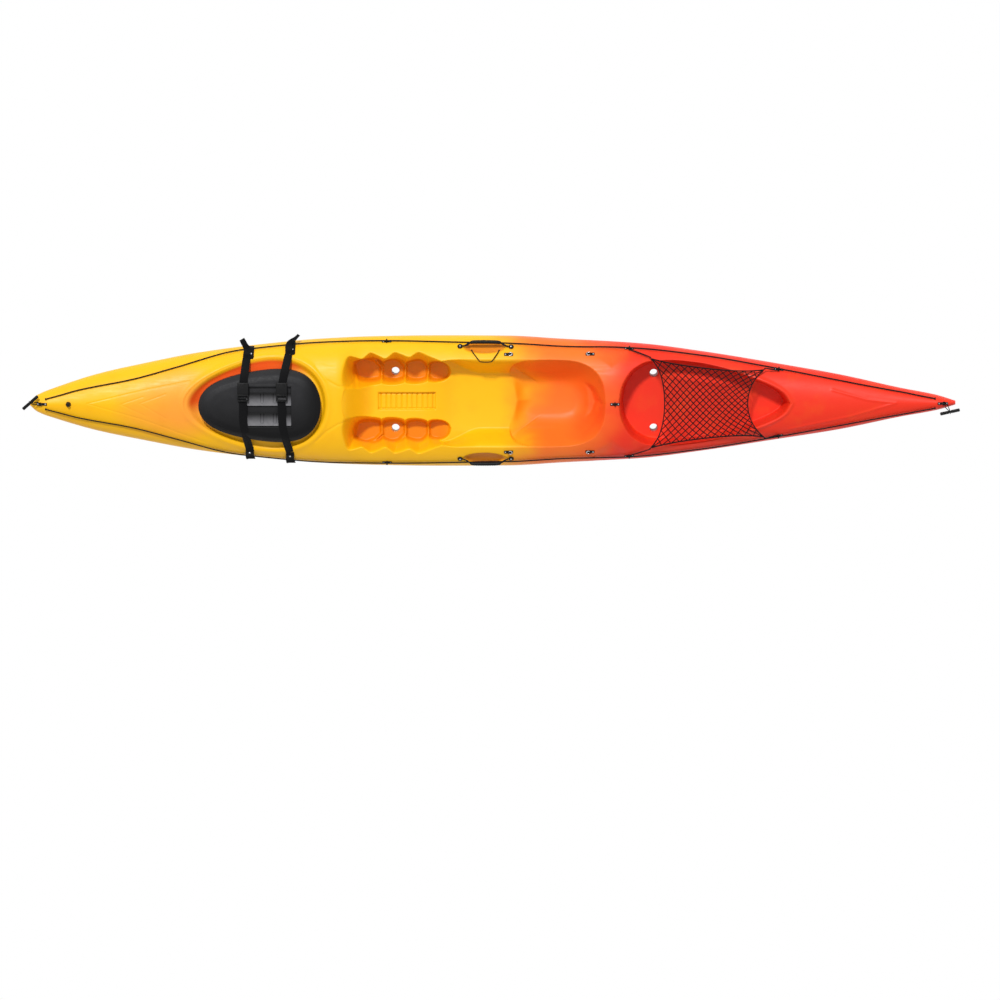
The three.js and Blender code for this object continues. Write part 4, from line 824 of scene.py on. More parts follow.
# Grooves and creases: their lines, depth and half width
marks = [
    {"line": [(-1470, 112), (-1700, 66), (-1970, 2), (-1700, -78), (-1390, -195)], "depth": 1.3, "half": 3.2},
    {"line": [(-1700, 34), (-1809, -2), (-1690, -58)], "depth": 1.2, "half": 3},
    {"line": [(-1590, 48), (-1716, 2), (-1588, -72)], "depth": 1.2, "half": 3},
    {"line": [(-862, 184), (-810, 118), (-752, 88), (-690, 84)], "depth": 2.6, "half": 5},
    {"line": [(-862, -184), (-810, -135), (-752, -98), (-700, -84)], "depth": 2.6, "half": 5},
    {"line": [(1650, 66), (1820, 18), (1958, 2), (1740, -64), (1440, -128)], "depth": -2.4, "half": 7},
]
gunwaleShare = 0.855
recessBead = {"height": 4.5, "away": 12, "half": 13}
console = {"centre": -420, "half": 139.5, "wide": 42, "depth": 20, "rib": 8, "pitch": 25.4}
tankRim = {"height": 6, "away": 9, "half": 8}
scoop = {"x": -42, "long": 107.5, "wide": 31, "depth": 21}
fold = {
    "line": [(500, 224), (545, 196), (580, 170), (618, 200), (655, 236), (700, 330), (455, 330)], "depth": 9,
    "soft": 42,
}


# Outside the hatch recess, a bell in section, gone at the gunwale
def recessBeadForm(x, y):
    away, _, _, inside = reach(x, y, recessTop)
    bell = recessBead["height"] * np.exp(-((away - recessBead["away"]) / recessBead["half"]) ** 2)
    return np.where(inside, 0, bell * smooth(away, 0, 8)) * smooth(beamAt(x) - np.abs(y), 5, 40)


# A tray with steep walls in the console, and ribs across it from a cosine
def consoleForm(x, y):
    run, room = x - console["centre"], console["wide"] - np.abs(y)
    deep = smooth(console["half"] - np.abs(run), -2, 3) * smooth(room, -2, 3)
    rib = smooth(0.5 + 0.5 * np.cos(2 * math.pi * run / console["pitch"] + math.pi), 0.02, 0.16)
    return -deep * (console["depth"] - console["rib"] * rib * smooth(room - 4, 0, 3))


# Outside the tank well's narrow end, a bell in section
def tankRimForm(x, y):
    away, _, _, inside = reach(x, y, tankTop)
    bell = tankRim["height"] * np.exp(-((away - tankRim["away"]) / tankRim["half"]) ** 2)
    return np.where(inside, 0, bell) * smooth(x, 1200, 1330)


# A finger scoop behind a handle: half an ellipsoid with a soft edge
def scoopForm(x, y, side):
    across = y - side * beamAt(scoop["x"]) * gunwaleShare
    fall = 1 - ((x - scoop["x"]) / scoop["long"]) ** 2 - (across / scoop["wide"]) ** 2
    return -scoop["depth"] * np.sqrt(np.maximum(fall, 0)) * smooth(fall, 0, 0.35)


# A flat of the gunwale folds in to a point between the seat and the tank well
def foldForm(x, y, side):
    return -fold["depth"] * smooth(roomIn(x, y, np.array(fold["line"]) * [1, side]), 0, fold["soft"])


# Adds a form's height to the points of the box
def shaped(x, y, z, box, form, *values):
    if not box.any():
        return z
    made = z.copy()
    made[box] = z[box] + form(x[box], y[box], *values)
    return made


def between(value, low, high):
    return (value > low) & (value < high)


# The whole deck's height: the plain deck, its soft forms, its wells and its grooves
def deckSurface(x, y):
    x, y = np.broadcast_arrays(np.asarray(x, float), np.asarray(y, float))
    z = plainDeck(x, y)
    z = shaped(x, y, z, between(x, -1560, -740), recessBeadForm)
    z = well(x, y, z, recessTop, recessFoot, plainDeck, lambda a, b: plainDeck(a, b) - hatch["depth"])
    z = well(x, y, z, cockpitTop, cockpitFoot, plainDeck, cockpitFloor)
    z = well(x, y, z, seatTop, seatFoot, seatRim, seatFloor, soft=12, bowl=2.0)
    for side in (1, -1):
        z = well(x, y, z, footTop(side), footFoot(side), plainDeck, footFloor, soft=3)
    z = shaped(x, y, z, between(x, -570, -270) & between(y, -55, 55), consoleForm)
    z = well(x, y, z, tankTop, tankFoot, plainDeck, lambda a, b: 0 * a + tank["height"])
    z = shaped(x, y, z, between(x, 1180, 1560), tankRimForm)
    for side in (1, -1):
        z = shaped(x, y, z, between(x, -157, 73) & between(side * y, 220, 325), scoopForm, side)
        z = shaped(x, y, z, between(x, 440, 720) & (side * y > 150), foldForm, side)
    for mark in marks:
        line = np.array(mark["line"], float)
        box = between(x, line[:, 0].min() - 30, line[:, 0].max() + 30)
        z = shaped(x, y, z, box, lambda a, b: -mark["depth"] * np.exp(
            -(segmentDistance(a, b, line) / mark["half"]) ** 2))
    return z


# Shares across the deck from port to starboard, a little closer together at the gunwales
def deckColumns(count):
    t = np.linspace(-1, 1, count)
    return 0.72 * t + 0.28 * np.sin(t * math.pi / 2)


# Stations along the boat, closer together towards a pointed end
def deckRows(start, end, spacing, ends=0):
    count = int(abs(end - start) / spacing) + 1
    t = np.linspace(0, 1, count)
    if ends < 0:
        t = 0.8 * t + 0.2 * (1 - np.cos(t * math.pi / 2))
    if ends > 0:
        t = 0.8 * t + 0.2 * np.sin(t * math.pi / 2)
    return start + (end - start) * t


# Radii of a scupper's holes in the deck and the bottom, and the tube's rings: radius and height over
# the well's floor, then radius and height over the bottom
scuppers = [(-477, 140), (-477, -140), (785, 134), (785, -134)]
scupper = {
    "mouth": 20.0, "end": 19.0, "snap": 2.6, "over": [(24.5, 0.2), (22, -0.3), (20.4, -2.2), (19.4, -7)],
    "under": [(18.6, 8), (19, 3), (21.5, 0)],
}


# Points near a scupper's circle move on to it, and the faces inside it go
def scupperHoles(x, y, radius):
    snap = scupper["snap"]
    hole = np.zeros(x.shape, bool)
    for cx, cy in scuppers:
        away = np.hypot(x - cx, y - cy)
        scale = np.where(np.abs(away - radius) < snap, radius / np.maximum(away, 1), 1)
        x, y = cx + (x - cx) * scale, cy + (y - cy) * scale
        hole |= away < radius + snap
    return x, y, hole


# A stretch of deck between two stations, with holes for the scuppers and the hatch's mouth
def deckPiece(name, rows, columns, stands=()):
    u = deckColumns(columns)
    x = np.repeat(rows[:, None], columns, 1)
    y = beamAt(rows)[:, None] * u[None]
    x, y, hole = scupperHoles(x, y, scupper["mouth"])
    if rows.min() < hatch["centre"]:
        hole |= reach(x, y, mouthRing)[3]
    z = deckSurface(x, y)
    z[:, 0] = z[:, -1] = seamAt(rows)
    faces = gridFaces(len(rows), columns)
    gone = hole.ravel()
    faces = faces[~gone[faces].all(1)]
    points = np.stack([x, y, z], -1).reshape(-1, 3)
    return makePiece(name, [(points, [faces])], shell, stands=stands)


deckPiece("deck_bow", deckRows(-2250, -760, 3.4, -1), 206, ["hull"])
deckPiece("deck_middle", deckRows(-760, 580, 2.9), 212)
deckPiece("deck_stern", deckRows(580, 2250, 3.8, 1), 200)
print("deck made")


# The bottom's flange, in from the beam and down from the seam, and the level share of its width
bottom = {"in": 4.5, "down": 7, "level": 0.18}


def flangeAt(x):
    return np.minimum(bottom["in"], beamAt(x) / 4), np.minimum(bottom["down"], (seamAt(x) - keelAt(x)) / 2)


# The bottom's height: level along the keel, then rising to the flange by a power
def bottomAt(x, y):
    lip, fall = flangeAt(x)
    share = np.abs(y) / np.maximum(beamAt(x) - lip, 1e-6)
    power = along("bilgePower", x / halfLength)
    rise = np.clip((share - bottom["level"]) / (1 - bottom["level"]), 0, 1) ** power
    return keelAt(x) + (seamAt(x) - fall - keelAt(x)) * rise


# Flat along the keel, then up round the bilge to a small flange under the deck's edge, with both ends


# closed
def bottomPiece():
    t = np.linspace(-1, 1, 520)
    rows = halfLength * (0.6 * np.sin(t * math.pi / 2) + 0.4 * t)
    close = [x + np.linspace(-24, 24, 17) for x in sorted({x for x, _ in scuppers})]
    rows = np.sort(np.concatenate([rows, *close]))
    u = deckColumns(150)
    beam, seam = beamAt(rows), seamAt(rows)
    lip, fall = flangeAt(rows)
    x = np.repeat(rows[:, None], len(u), 1)
    x, y, hole = scupperHoles(x, (beam - lip)[:, None] * u[None], scupper["end"])
    lower = np.stack([x, y, bottomAt(x, y)], -1)
    edge = []
    for side in (-1, 1):
        for out, drop in ((-lip, 0.7), (-0.4, 0.6), (0.2, 0.3), (0, 0)):
            edge.append(np.stack([rows, side * (beam + out), seam - fall * drop], -1))
    points = np.concatenate([np.stack(edge[3::-1], 1), lower, np.stack(edge[4:], 1)], 1)
    gone = np.pad(hole, ((0, 0), (4, 4))).ravel()
    faces = gridFaces(points.shape[0], points.shape[1])[:, ::-1]
    parts = [(points.reshape(-1, 3), [faces[~gone[faces].all(1)]])]
    for end in (0, -1):
        ends = np.concatenate([points[end], deckEnd(rows[end], 60)])
        count = len(ends)
        fan = np.stack([np.arange(count), (np.arange(count) + 1) % count, np.full(count, count)], -1)
        parts.append((np.concatenate([ends, ends.mean(0)[None]]), [fan if end == 0 else fan[:, ::-1]]))
    makePiece("hull_bottom", parts, shell, sharp=50)


def deckEnd(x, count):
    y = np.linspace(1, -1, count) * float(beamAt(x))
    return np.stack([np.full(count, x), y, plainDeck(np.full(count, x), y)], -1)


bottomPiece()


# A tube through the hull, flared over the well's floor and under the bottom
def scupperPart(cx, cy):
    angle = np.linspace(0, 2 * math.pi, 40, endpoint=False)
    widest = scupper["over"][0][0]
    floor = deckSurface(cx + widest * np.cos(angle), cy + widest * np.sin(angle))
    rings = []
    for radius, rise in scupper["over"]:
        rings.append(np.stack([cx + radius * np.cos(angle), cy + radius * np.sin(angle), floor + rise], -1))
    for radius, rise in scupper["under"]:
        x, y = cx + radius * np.cos(angle), cy + radius * np.sin(angle)
        rings.append(np.stack([x, y, bottomAt(x, y) + rise], -1))
    return np.stack(rings).reshape(-1, 3), [gridFaces(len(rings), len(angle), False, True)]


makePiece("scupper_tubes", [scupperPart(*at) for at in scuppers], shell)

# In from the hatch's outline and down from the plain deck
coaming = [(30, 24.5), (36, 23), (37, 12), (39, 10), (42, 10.5), (43.5, 13), (44, 60)]


# The hatch mouth's rim: up from the recess, over and down into the hull
def coamingPart():
    rings = []
    for inset, fall in coaming:
        ring = grown(hatchEgg, -inset)
        rings.append(np.column_stack([ring, plainDeck(ring[:, 0], ring[:, 1]) - fall]))
    return np.stack(rings).reshape(-1, 3), [gridFaces(len(rings), len(hatchEgg), False, True)]


makePiece("hatch_coaming", [coamingPart()], shell)


# Seats on the deck


def heightAt(surface, x, y):
    return float(surface(np.array([x]), np.array([y]))[0])


# Where a flat foot stands: its place, its run along the boat, its sideways direction and its normal
def seatAt(x, y, slope=0.0, lift=0.0):
    h = 3.0  # half the distance over which the deck's slope is taken
    dx = (heightAt(plainDeck, x + h, y) - heightAt(plainDeck, x - h, y)) / (2 * h)
    dy = (heightAt(plainDeck, x, y + h) - heightAt(plainDeck, x, y - h)) / (2 * h)
    normal = unit([-dx, -dy, 1])
    run = np.array([1, slope, 0.0])
    run = unit(run - normal * (run @ normal))
    point = np.array([x, y, heightAt(deckSurface, x, y)])
    return point + normal * lift, run, np.cross(normal, run), normal


# Lid: its top's and band's heights, its tray's centre and length, and the shelves in the tray
lid = {
    "top": 363, "band": 22, "shoulder": 60, "edge": 97.5, "tray": (-1088, 220), "depth": 15, "barWidth": 63,
    "barEdge": 68, "barPitch": 98, "barHigh": 3, "barLow": 12, "barEnd": 0.6, "rib": 0.55, "ribPitch": 5.2,
    "sealDown": 10, "seal": 4, "gap": 1.2, "wall": 5, "corner": 2.5, "welt": 1.3,
    "hoops": {"apart": 31, "half": 8, "long": 38, "deep": 2.6, "line": 1.9},
}
# Shares of the shoulder's width from the edge inwards, and of its rise
dome = np.array([(0, 0), (.12, .34), (.4, .76), (.8, .96), (1.5, 1)], float)
# In from the lid's outline, and shares of the band's height
lidBand = [(5, 0.1), (5, 0), (1.5, -0.02), (0, 0.06), (-0.4, 0.2), (-0.4, 0.8), (0, 1.0), (0.4, 1.04)]


def sealHeight(x, y):
    return plainDeck(x, y) - lid["sealDown"] + lid["gap"]


def lidFoot(x, y):
    return sealHeight(x, y) + lid["seal"] + lid["gap"]


# The dome's profile with its corners rounded, looked up at each distance from the edge
def domeRise(distance):
    fine = np.linspace(0, 1.6, 200)
    soft = np.interp(fine, dome[:, 0], dome[:, 1])
    soft = np.convolve(np.pad(soft, 12, mode="edge"), np.ones(25) / 25, "valid")
    soft[0] = 0
    return np.interp(distance / lid["shoulder"], fine, soft)


# A dome over the lid's outline with a level top; grid lines run along the tray's edges
def makeLid():
    centre, length, width = hatch["centre"], hatch["length"], hatch["width"]
    tx, tLength = lid["tray"]
    ends = [tx - tLength / 2, tx + tLength / 2]
    corner = lid["corner"]
    rows = centre - length / 2 * np.cos(np.linspace(0, math.pi, 150))
    rows = np.unique(np.concatenate([rows, ends, [ends[0] + corner, ends[1] - corner]]))
    cosine = np.clip((rows - centre) / (length / 2), -1, 1)
    half = width / 2 * np.sqrt(1 - cosine ** 2) * lidSwell(cosine)
    half[0] = half[-1] = 0.6
    inner = np.minimum(lid["edge"] / hatch["narrow"], 0.655 * half)
    arc = np.sin(np.linspace(0, 1, 34) * math.pi / 2)
    beside = inner - np.minimum(corner, inner * 0.02)
    positive = np.concatenate([
        np.linspace(0, 1, 40)[None, :-1] * beside[:, None], beside[:, None],
        inner[:, None] + (half - inner)[:, None] * arc[None],
    ], 1)
    y = np.concatenate([-positive[:, :0:-1], positive], 1) * hatch["narrow"] + hatch["side"]
    x = np.repeat(rows[:, None], y.shape[1], 1)
    d, nearX, nearY, inside = reach(x, y, lidShape(320))
    base = lidFoot(nearX, nearY) + lid["band"]
    z = base + (lid["top"] - base) * domeRise(np.where(inside, d, 0))
    aside = np.abs(y - hatch["side"])
    z = z - lid["depth"] * (between(x, ends[0] + 1, ends[1] - 1) & (aside < lid["edge"] - 1))
    # A low welt round the tray
    rimDistance = np.maximum(np.abs(x - tx) - tLength / 2, aside - lid["edge"])
    z = z + np.where(rimDistance > 0, lid["welt"] * np.exp(-((rimDistance - 5) / 4) ** 2), 0)
    points = np.stack([x, y, z], -1)
    faces = gridFaces(*x.shape)
    ring = lidShape(240)
    foot = lidFoot(ring[:, 0], ring[:, 1])
    rings = []
    for inset, share in lidBand:
        r = grown(ring, -inset)
        rings.append(np.column_stack([r, foot + lid["band"] * share]))
    skirt = (np.stack(rings).reshape(-1, 3), [gridFaces(len(rings), len(ring), False, True)[:, ::-1]])
    top = (points.reshape(-1, 3), [faces])
    makePiece("lid_shell", [top, skirt], lidPlastic, "hatch_lid", ["hatch_lid"], 38)
    under = np.stack([x, y, np.minimum(z, lid["top"]) - lid["wall"]], -1)
    under[..., 2] = np.maximum(under[..., 2], sealHeight(nearX, nearY) + 8)
    lining = (under.reshape(-1, 3), [faces[:, ::-1]])
    makePiece("lid_inside", [lining], lidPlastic, "hatch_lid")


# A ribbed shelf in the lid's tray that rises to port, with two hoops pressed into it
def makeShelf(index):
    tx, tLength = lid["tray"]
    reachOut = tLength / 2 - lid["barEnd"]
    x, a = np.meshgrid(np.linspace(tx - reachOut, tx + reachOut, 260), np.linspace(0, 1, 44), indexing="ij")
    y = hatch["side"] + lid["barEdge"] - index * lid["barPitch"] - lid["barWidth"] * a
    rib = lid["rib"] * np.cos(2 * math.pi * (x - tx) / lid["ribPitch"])
    rib = rib * smooth(a, 0.03, 0.1) * smooth(1 - a, 0.03, 0.1)
    z = lid["top"] - lid["barLow"] + (lid["barLow"] - lid["barHigh"]) * a + rib
    hoops = lid["hoops"]
    for way in (-1, 1):
        u, v = x - tx - way * hoops["apart"], (a - 0.12) * lid["barWidth"]
        legs = np.abs(np.abs(u) - hoops["half"])
        turn = np.abs(np.hypot(u, v - hoops["long"]) - hoops["half"])
        away = np.where(v < hoops["long"], legs, turn) + np.where(v < 0, -v, 0)
        z = z - hoops["deep"] * np.exp(-(away / hoops["line"]) ** 2)
    points = np.stack([x, y, z], -1)
    floor = lid["top"] - lid["depth"] - 1
    walls = []
    for e in (points[:, :1], points[:, -1:]):
        walls.append(np.concatenate([e[..., :2], np.full(e[..., :1].shape, floor)], -1))
    points = np.concatenate([walls[0], points, walls[1]], 1)
    faces = gridFaces(points.shape[0], points.shape[1])[:, ::-1]
    return points.reshape(-1, 3), [faces]


makeLid()
makePiece("lid_shelves", [makeShelf(0), makeShelf(1)], shelfPlastic, "hatch_lid", sharp=55)


# In and out from the lid's outline and up from the coaming
sealRings = [(-15, 0.2), (-15, 3.6), (-6, 4), (-1, 4), (0.8, 3.3), (1.4, 2), (0.8, 0.7), (-1, 0)]


# A soft bead under the lid's foot
def makeSeal():
    ring = lidShape(240)
    rings = []
    for out, rise in sealRings:
        rings.append(np.column_stack([grown(ring, out), sealHeight(ring[:, 0], ring[:, 1]) + rise]))
    part = (np.stack(rings).reshape(-1, 3), [gridFaces(len(rings), len(ring), True, True)])
    makePiece("seal_ring", [part], sealRubber, stands=["hatch_seal"])


makeSeal()
print("hatch made")

# Hatch straps: where each crosses, its height at distances from the centre line, and how its starboard
# tail ends
straps = {
    "front": {
        "x": -1211.0, "end": 225.9, "drift": (27, 15), "tab": 36, "tip": (-10, 309),
        "tipWidth": 27, "twist": 0.3,
        "heights": [(0, 365.5), (73, 365), (115, 362), (144, 348), (190, 301), (228, 262)],
    },
    "rear": {
        "x": -1024.0, "end": 242.8, "drift": (36, 33), "tab": 50, "tip": (80, 330),
        "tipWidth": 22, "twist": 0.7,
        "heights": [(0, 365.5), (102, 365), (128, 362), (160, 350), (205, 303), (245, 261)],
    },
}
band = {"width": 39, "thick": 2.6}
buckle = {"from": 18, "parting": 54, "to": 110, "width": 54, "height": 11, "gap": 0.4}


# How far aft of its buckle a strap runs, at each distance from the centre line
def driftAt(name, y):
    s = straps[name]
    port, starboard = s["drift"]
    share = np.clip((abs(y) - 70) / (s["end"] - 70), 0, 1.2) ** 1.3
    return (port if y < 0 else starboard) * share


def strapPath(name, start, end):
    s = straps[name]
    heights = [(-y, z) for y, z in s["heights"][:0:-1]] + s["heights"]
    line = smoothPath([(s["x"] + driftAt(name, y), y, z + 0.6) for y, z in heights], 400)
    return spaced(line[(line[:, 1] >= start) & (line[:, 1] <= end)], 60)


def webbingPiece(name, path, widths, wide, body, stands=(), thick=band["thick"]):
    part = ribbon(path, widths, thick, wide)
    piece = makePiece(name, [part], webbing, body, stands, 60)
    across = np.array([-1, -1, -1, -.5, 0, .5, 1, 1, 1, 1, 0, -1]) * 0.0195
    alongMap(piece, np.repeat(runOf(path) * 0.001, len(across)), np.tile(across, len(path)))


# Both halves of a strap with their parts of the buckle
def makeStrap(name):
    s = straps[name]
    width, height = buckle["width"], buckle["height"]
    port, starboard = f"strap_{name}_port", f"strap_{name}_starboard"

    def boxAt(size, radius, across, y, z):
        return moved(roundedBox(size, radius), s["x"] + across, y, z)

    path = strapPath(name, -s["end"] + 4, buckle["from"] + 10)
    webbingPiece(f"{name}_band_port", path, band["width"], (1, 0, 0), port, [port])
    path = strapPath(name, buckle["to"] - 12, s["end"] - 4)
    webbingPiece(f"{name}_band_starboard", path, band["width"], (1, 0, 0), starboard, [starboard])
    top = float(max(z for _, z in s["heights"])) + 1.4
    middle = top + height / 2
    # Socket: a flat box with a waist at its two release windows
    y0, y1 = buckle["parting"] + buckle["gap"], buckle["to"] - buckle["gap"]
    socket = [boxAt((width, y1 - y0, height), 3.2, 0, (y0 + y1) / 2, middle)]
    socket += [boxAt((7, 21, 8.4), 2.2, side * 23.4, y0 + 19, middle) for side in (-1, 1)]
    socket += [boxAt((30, 2.6, 2), 0.9, 0, y1 - 7 - 5 * i, top + height + 0.2) for i in range(3)]
    node = f"buckle_socket_{name}"
    makePiece(f"{name}_socket", socket, blackPlastic, starboard, [node], 40)
    # Tongue: a ladder bar for the webbing, two springs and a middle guide
    y0, y1 = buckle["from"] + buckle["gap"], buckle["parting"] - buckle["gap"]
    tongue = [
        boxAt((width, 8, height - 1), 3, 0, y1 - 4, middle),
        boxAt((width, 6, height - 3), 2.4, 0, y0 + 3, middle + 1),
        boxAt((width - 12, 4.4, 4), 1.6, 0, (y0 + y1) / 2, middle + 2.6),
    ]
    tongue += [boxAt((6, y1 - y0, height - 2), 2.2, side * 24, (y0 + y1) / 2, middle) for side in (-1, 1)]
    tongue += [boxAt((5, 24, 3.4), 1.4, side * 14, y1 + 7, middle) for side in (-1, 1)]
    tongue.append(boxAt((6, 20, 3.2), 1.2, 0, y1 + 6, middle))
    makePiece(f"{name}_tongue", tongue, blackPlastic, port, [f"buckle_tongue_{name}"], 40)


for strapName in straps:
    makeStrap(strapName)


def lineY(x, side):
    return side * beamAt(x) * along("line", x / halfLength)


# A pan-headed screw with a cross in its head
def screwPart(seat, radius=4.6, height=2.2):
    point, run, side, normal = seat
    shares = [(0, 0), (1, 0), (1, 0.35), (0.86, 0.75), (0.5, 0.97), (0, 1)]
    head = lathe([(radius * a, height * b) for a, b in shares], 28)
    slots = [(radius * 1.1, 0.9, 0.5), (0.9, radius * 1.1, 0.5)]
    cross = [moved(roundedBox(size, 0.15, 1), 0, 0, height * 0.99) for size in slots]
    return [placed(p, point, run, side, normal) for p in [head, *cross]]


def raised(seat, height):
    return (seat[0] + seat[3] * height, *seat[1:])


# A screw on a washer through the webbing
def anchorScrew(stem, seat):
    washer = placed(lathe([(0, 0), (8.6, 0), (8.6, 1.2), (7.8, 2), (0, 2)], 32), *raised(seat, 3.4))
    makePiece(stem + "_washer", [washer], blackPlastic)
    makePiece(stem + "_screw", screwPart(raised(seat, 5.2)), steel, sharp=40)


# Where an anchor starts, as a share of the beam, and a starboard tab's steps out from its line with
# the height over the deck at each
anchor = {
    "share": 0.84,
    "tab": [(-42, 1.8), (-30, 1.8), (-20, 1.8), (-9, 5), (0, 8.6), (9, 5.5), (14, 0)],
}


# To port the webbing's end lies over the deck line under its screw. To starboard a short tab


# does, and the webbing's tail stands free beside it
def makeAnchor(place, name, side):
    s = straps[place]
    stem = f"strap_anchor_{place}_{name}"
    x = s["x"] + driftAt(place, side * s["end"])
    inner = float(beamAt(x)) * anchor["share"]
    seat = seatAt(x, side * inner)
    crest = seatAt(x, side * abs(float(lineY(x, side))))
    points = [raised(seat, 4.6)[0] + [0, -side * 19, 8], raised(seat, 3.4)[0], seat[0] + [0, side * 9, 1.6]]
    if side < 0:
        points += [raised(crest, 11)[0], crest[0] + [3, side * 19, 0], crest[0] + [5, side * 22, -18]]
        path = smoothPath(points, 34)
        widths = np.interp(np.linspace(0, 1, 34), [0, 0.5, 0.9, 1], [39, 41, 43, 36])
        webbingPiece(f"anchor_tab_{place}_{name}", path, widths, (1, 0, 0), "hull", [stem])
        spot = path[np.argmin(np.abs(np.abs(path[:, 1]) - inner - 12))]
        anchorScrew(f"anchor_{place}_{name}", (spot - seat[3] * 1.6, *seat[1:]))
        return
    tip = np.array([s["x"] + s["tip"][0], s["tip"][1], crest[0][2] + 7])
    bend = crest[0] + [0, 8, 11]
    path = smoothPath([*points, bend, bend * 0.45 + tip * 0.55 + [0, 0, 5], tip], 44)
    t = np.linspace(0, 1, 44)
    turn = s["twist"] * smooth(t, 0.35, 1)
    wide = np.stack([np.cos(turn), 0 * t, np.sin(turn)], -1)
    widths = np.interp(t, [0, 0.45, 0.75, 1], [38, 34, s["tipWidth"] + 3, s["tipWidth"]])
    webbingPiece(f"anchor_tail_{place}_{name}", path, widths, wide, "hull", [stem])
    x = s["x"] + s["tab"]
    line = abs(float(lineY(x, side)))
    path = smoothPath([raised(seatAt(x, line + step), lift)[0] for step, lift in anchor["tab"]], 40)
    widths = np.interp(np.linspace(0, 1, 40), [0, 0.08, 0.9, 1], [18, 27, 27, 20])
    webbingPiece(f"anchor_tab_{place}_{name}", path, widths, (1, 0, 0), "hull")
    anchorScrew(f"anchor_{place}_{name}", seatAt(x, line - 20))


sides = {"port": -1, "starboard": 1}
for strapName in straps:
    for sideName, side in sides.items():
        makeAnchor(strapName, sideName, side)
print("straps made")

# Padeyes: each foot's thickness and taper, how wide the arch stands over its cord, and the arch's own
# radius; then the place of each kind
padeye = {"thick": 3, "taper": 0.42, "eyeShare": 1.43, "arch": 3.4, "wall": 2.5, "lineEye": 6.93}
padeyePlaces = {"line_padeye": -517.0, "net_padeye_front": 663.0, "net_padeye_rear": 1390.0}
seatPadeye = {
    "front": (76.0, 1), "rear": (472.0, -1), "y": 238.0, "wire": 1.6, "ring": 8.5, "droop": 0.045,
    "size": (44, 25),
}
# On the centre line: places, and the end ones' length and width
middlePadeye = {"bow": -2190.0, "stern": 2186.0, "centre": 592.0, "size": (52, 20)}


def eyeHeight(wire):
    return padeye["thick"] + wire * padeye["eyeShare"]


# A moulded foot, fuller under its arch, with the arch along or across it
def padeyeParts(length, width, wire, lengthwise):
    reachOut = wire * padeye["eyeShare"] + padeye["wall"]
    plate = moved(roundedBox((length, width, padeye["thick"]), 1.3), 0, 0, padeye["thick"] / 2)
    taper = 1 - padeye["taper"] * np.clip(np.abs(plate[0][:, 0]) / (length / 2), 0, 1) ** 3
    plate[0][:, 1] *= taper
    turn = np.linspace(0, math.pi, 15)
    arch = [(reachOut * math.cos(a), eyeHeight(wire) + reachOut * math.sin(a)) for a in turn]
    feet = [(reachOut * 1.25, 1.2), (reachOut * 1.06, 2.6)]
    arch = [*feet, *arch, *[(-a, b) for a, b in feet[::-1]]]
    path = np.array([(a, 0, b) if lengthwise else (0, a, b) for a, b in arch])
    return [plate, tube(smoothPath(path, 40), padeye["arch"], 14)]


def makePadeye(name, x, y, slope, wire=2.75, lengthwise=False, length=46, width=20):
    seat = seatAt(x, y, slope, 0.1)
    parts = [placed(p, *seat) for p in padeyeParts(length, width, wire, lengthwise)]
    makePiece(name + "_mould", parts, blackPlastic, stands=[name], sharp=50)
    heads = []
    for way in (-1, 1):
        spot = seat[0] + seat[1] * way * length * 0.35 + seat[3] * 2.9
        heads += screwPart((spot, *seat[1:]), 3.4, 1.8)
    makePiece(name + "_screws", heads, steel, sharp=40)
    return seat


def slopeAt(x, side):
    return float(lineY(x + 38.0, side) - lineY(x - 38.0, side)) / 76


# A wire ring that lies back from its padeye's eye, drooping a little
def makeSeatRing(end, sideName, seat, way):
    point, run, over, normal = seat
    radius = seatPadeye["ring"]
    pivot = point + normal * eyeHeight(seatPadeye["wire"])
    angle = np.linspace(0, 2 * math.pi, 40, endpoint=False)
    ring = pivot + run * (way * (radius - radius * np.cos(angle)))[:, None]
    ring = ring + over * (radius * np.sin(angle))[:, None]
    ring += normal * (seatPadeye["droop"] * radius * (1 - np.cos(angle)))[:, None]
    node = f"seat_ring_{end}_{sideName}"
    makePiece(node + "_wire", [tube(ring, seatPadeye["wire"], 14, True)], steel, node, [node])


netSeats, lineEyes = {}, {"port": [], "starboard": []}
for sideName, side in sides.items():
    for kind, x in padeyePlaces.items():
        seat = makePadeye(f"{kind}_{sideName}", x, float(lineY(x, side)), slopeAt(x, side))
        lineEyes[sideName].append(seat[0] + seat[3] * padeye["lineEye"])
        netSeats[kind + sideName] = seat
    for end in ("front", "rear"):
        x, way = seatPadeye[end]
        y, wire = side * seatPadeye["y"], seatPadeye["wire"]
        seat = makePadeye(f"seat_padeye_{end}_{sideName}", x, y, 0, wire, True, *seatPadeye["size"])
        makeSeatRing(end, sideName, seat, way)
makePadeye("centre_padeye", middlePadeye["centre"], 0.0, 0)
toggleWire = 2.0
bowSeat = makePadeye("bow_padeye", middlePadeye["bow"], 0.0, 0, toggleWire, True, *middlePadeye["size"])
sternSeat = makePadeye("stern_padeye", middlePadeye["stern"], 0.0, 0, toggleWire, True, *middlePadeye["size"])
print("padeyes made")

# Deck lines: both ends, how many spots they touch the deck at, how clear of an eye, and how high
line = {"bow": -2170, "stern": 2148, "spots": 60, "clear": 76, "lift": 6.8, "radius": 3.1}

# The braid's distance in metres from ring to ring of a knot
knotStep = math.sqrt(3) * 0.001


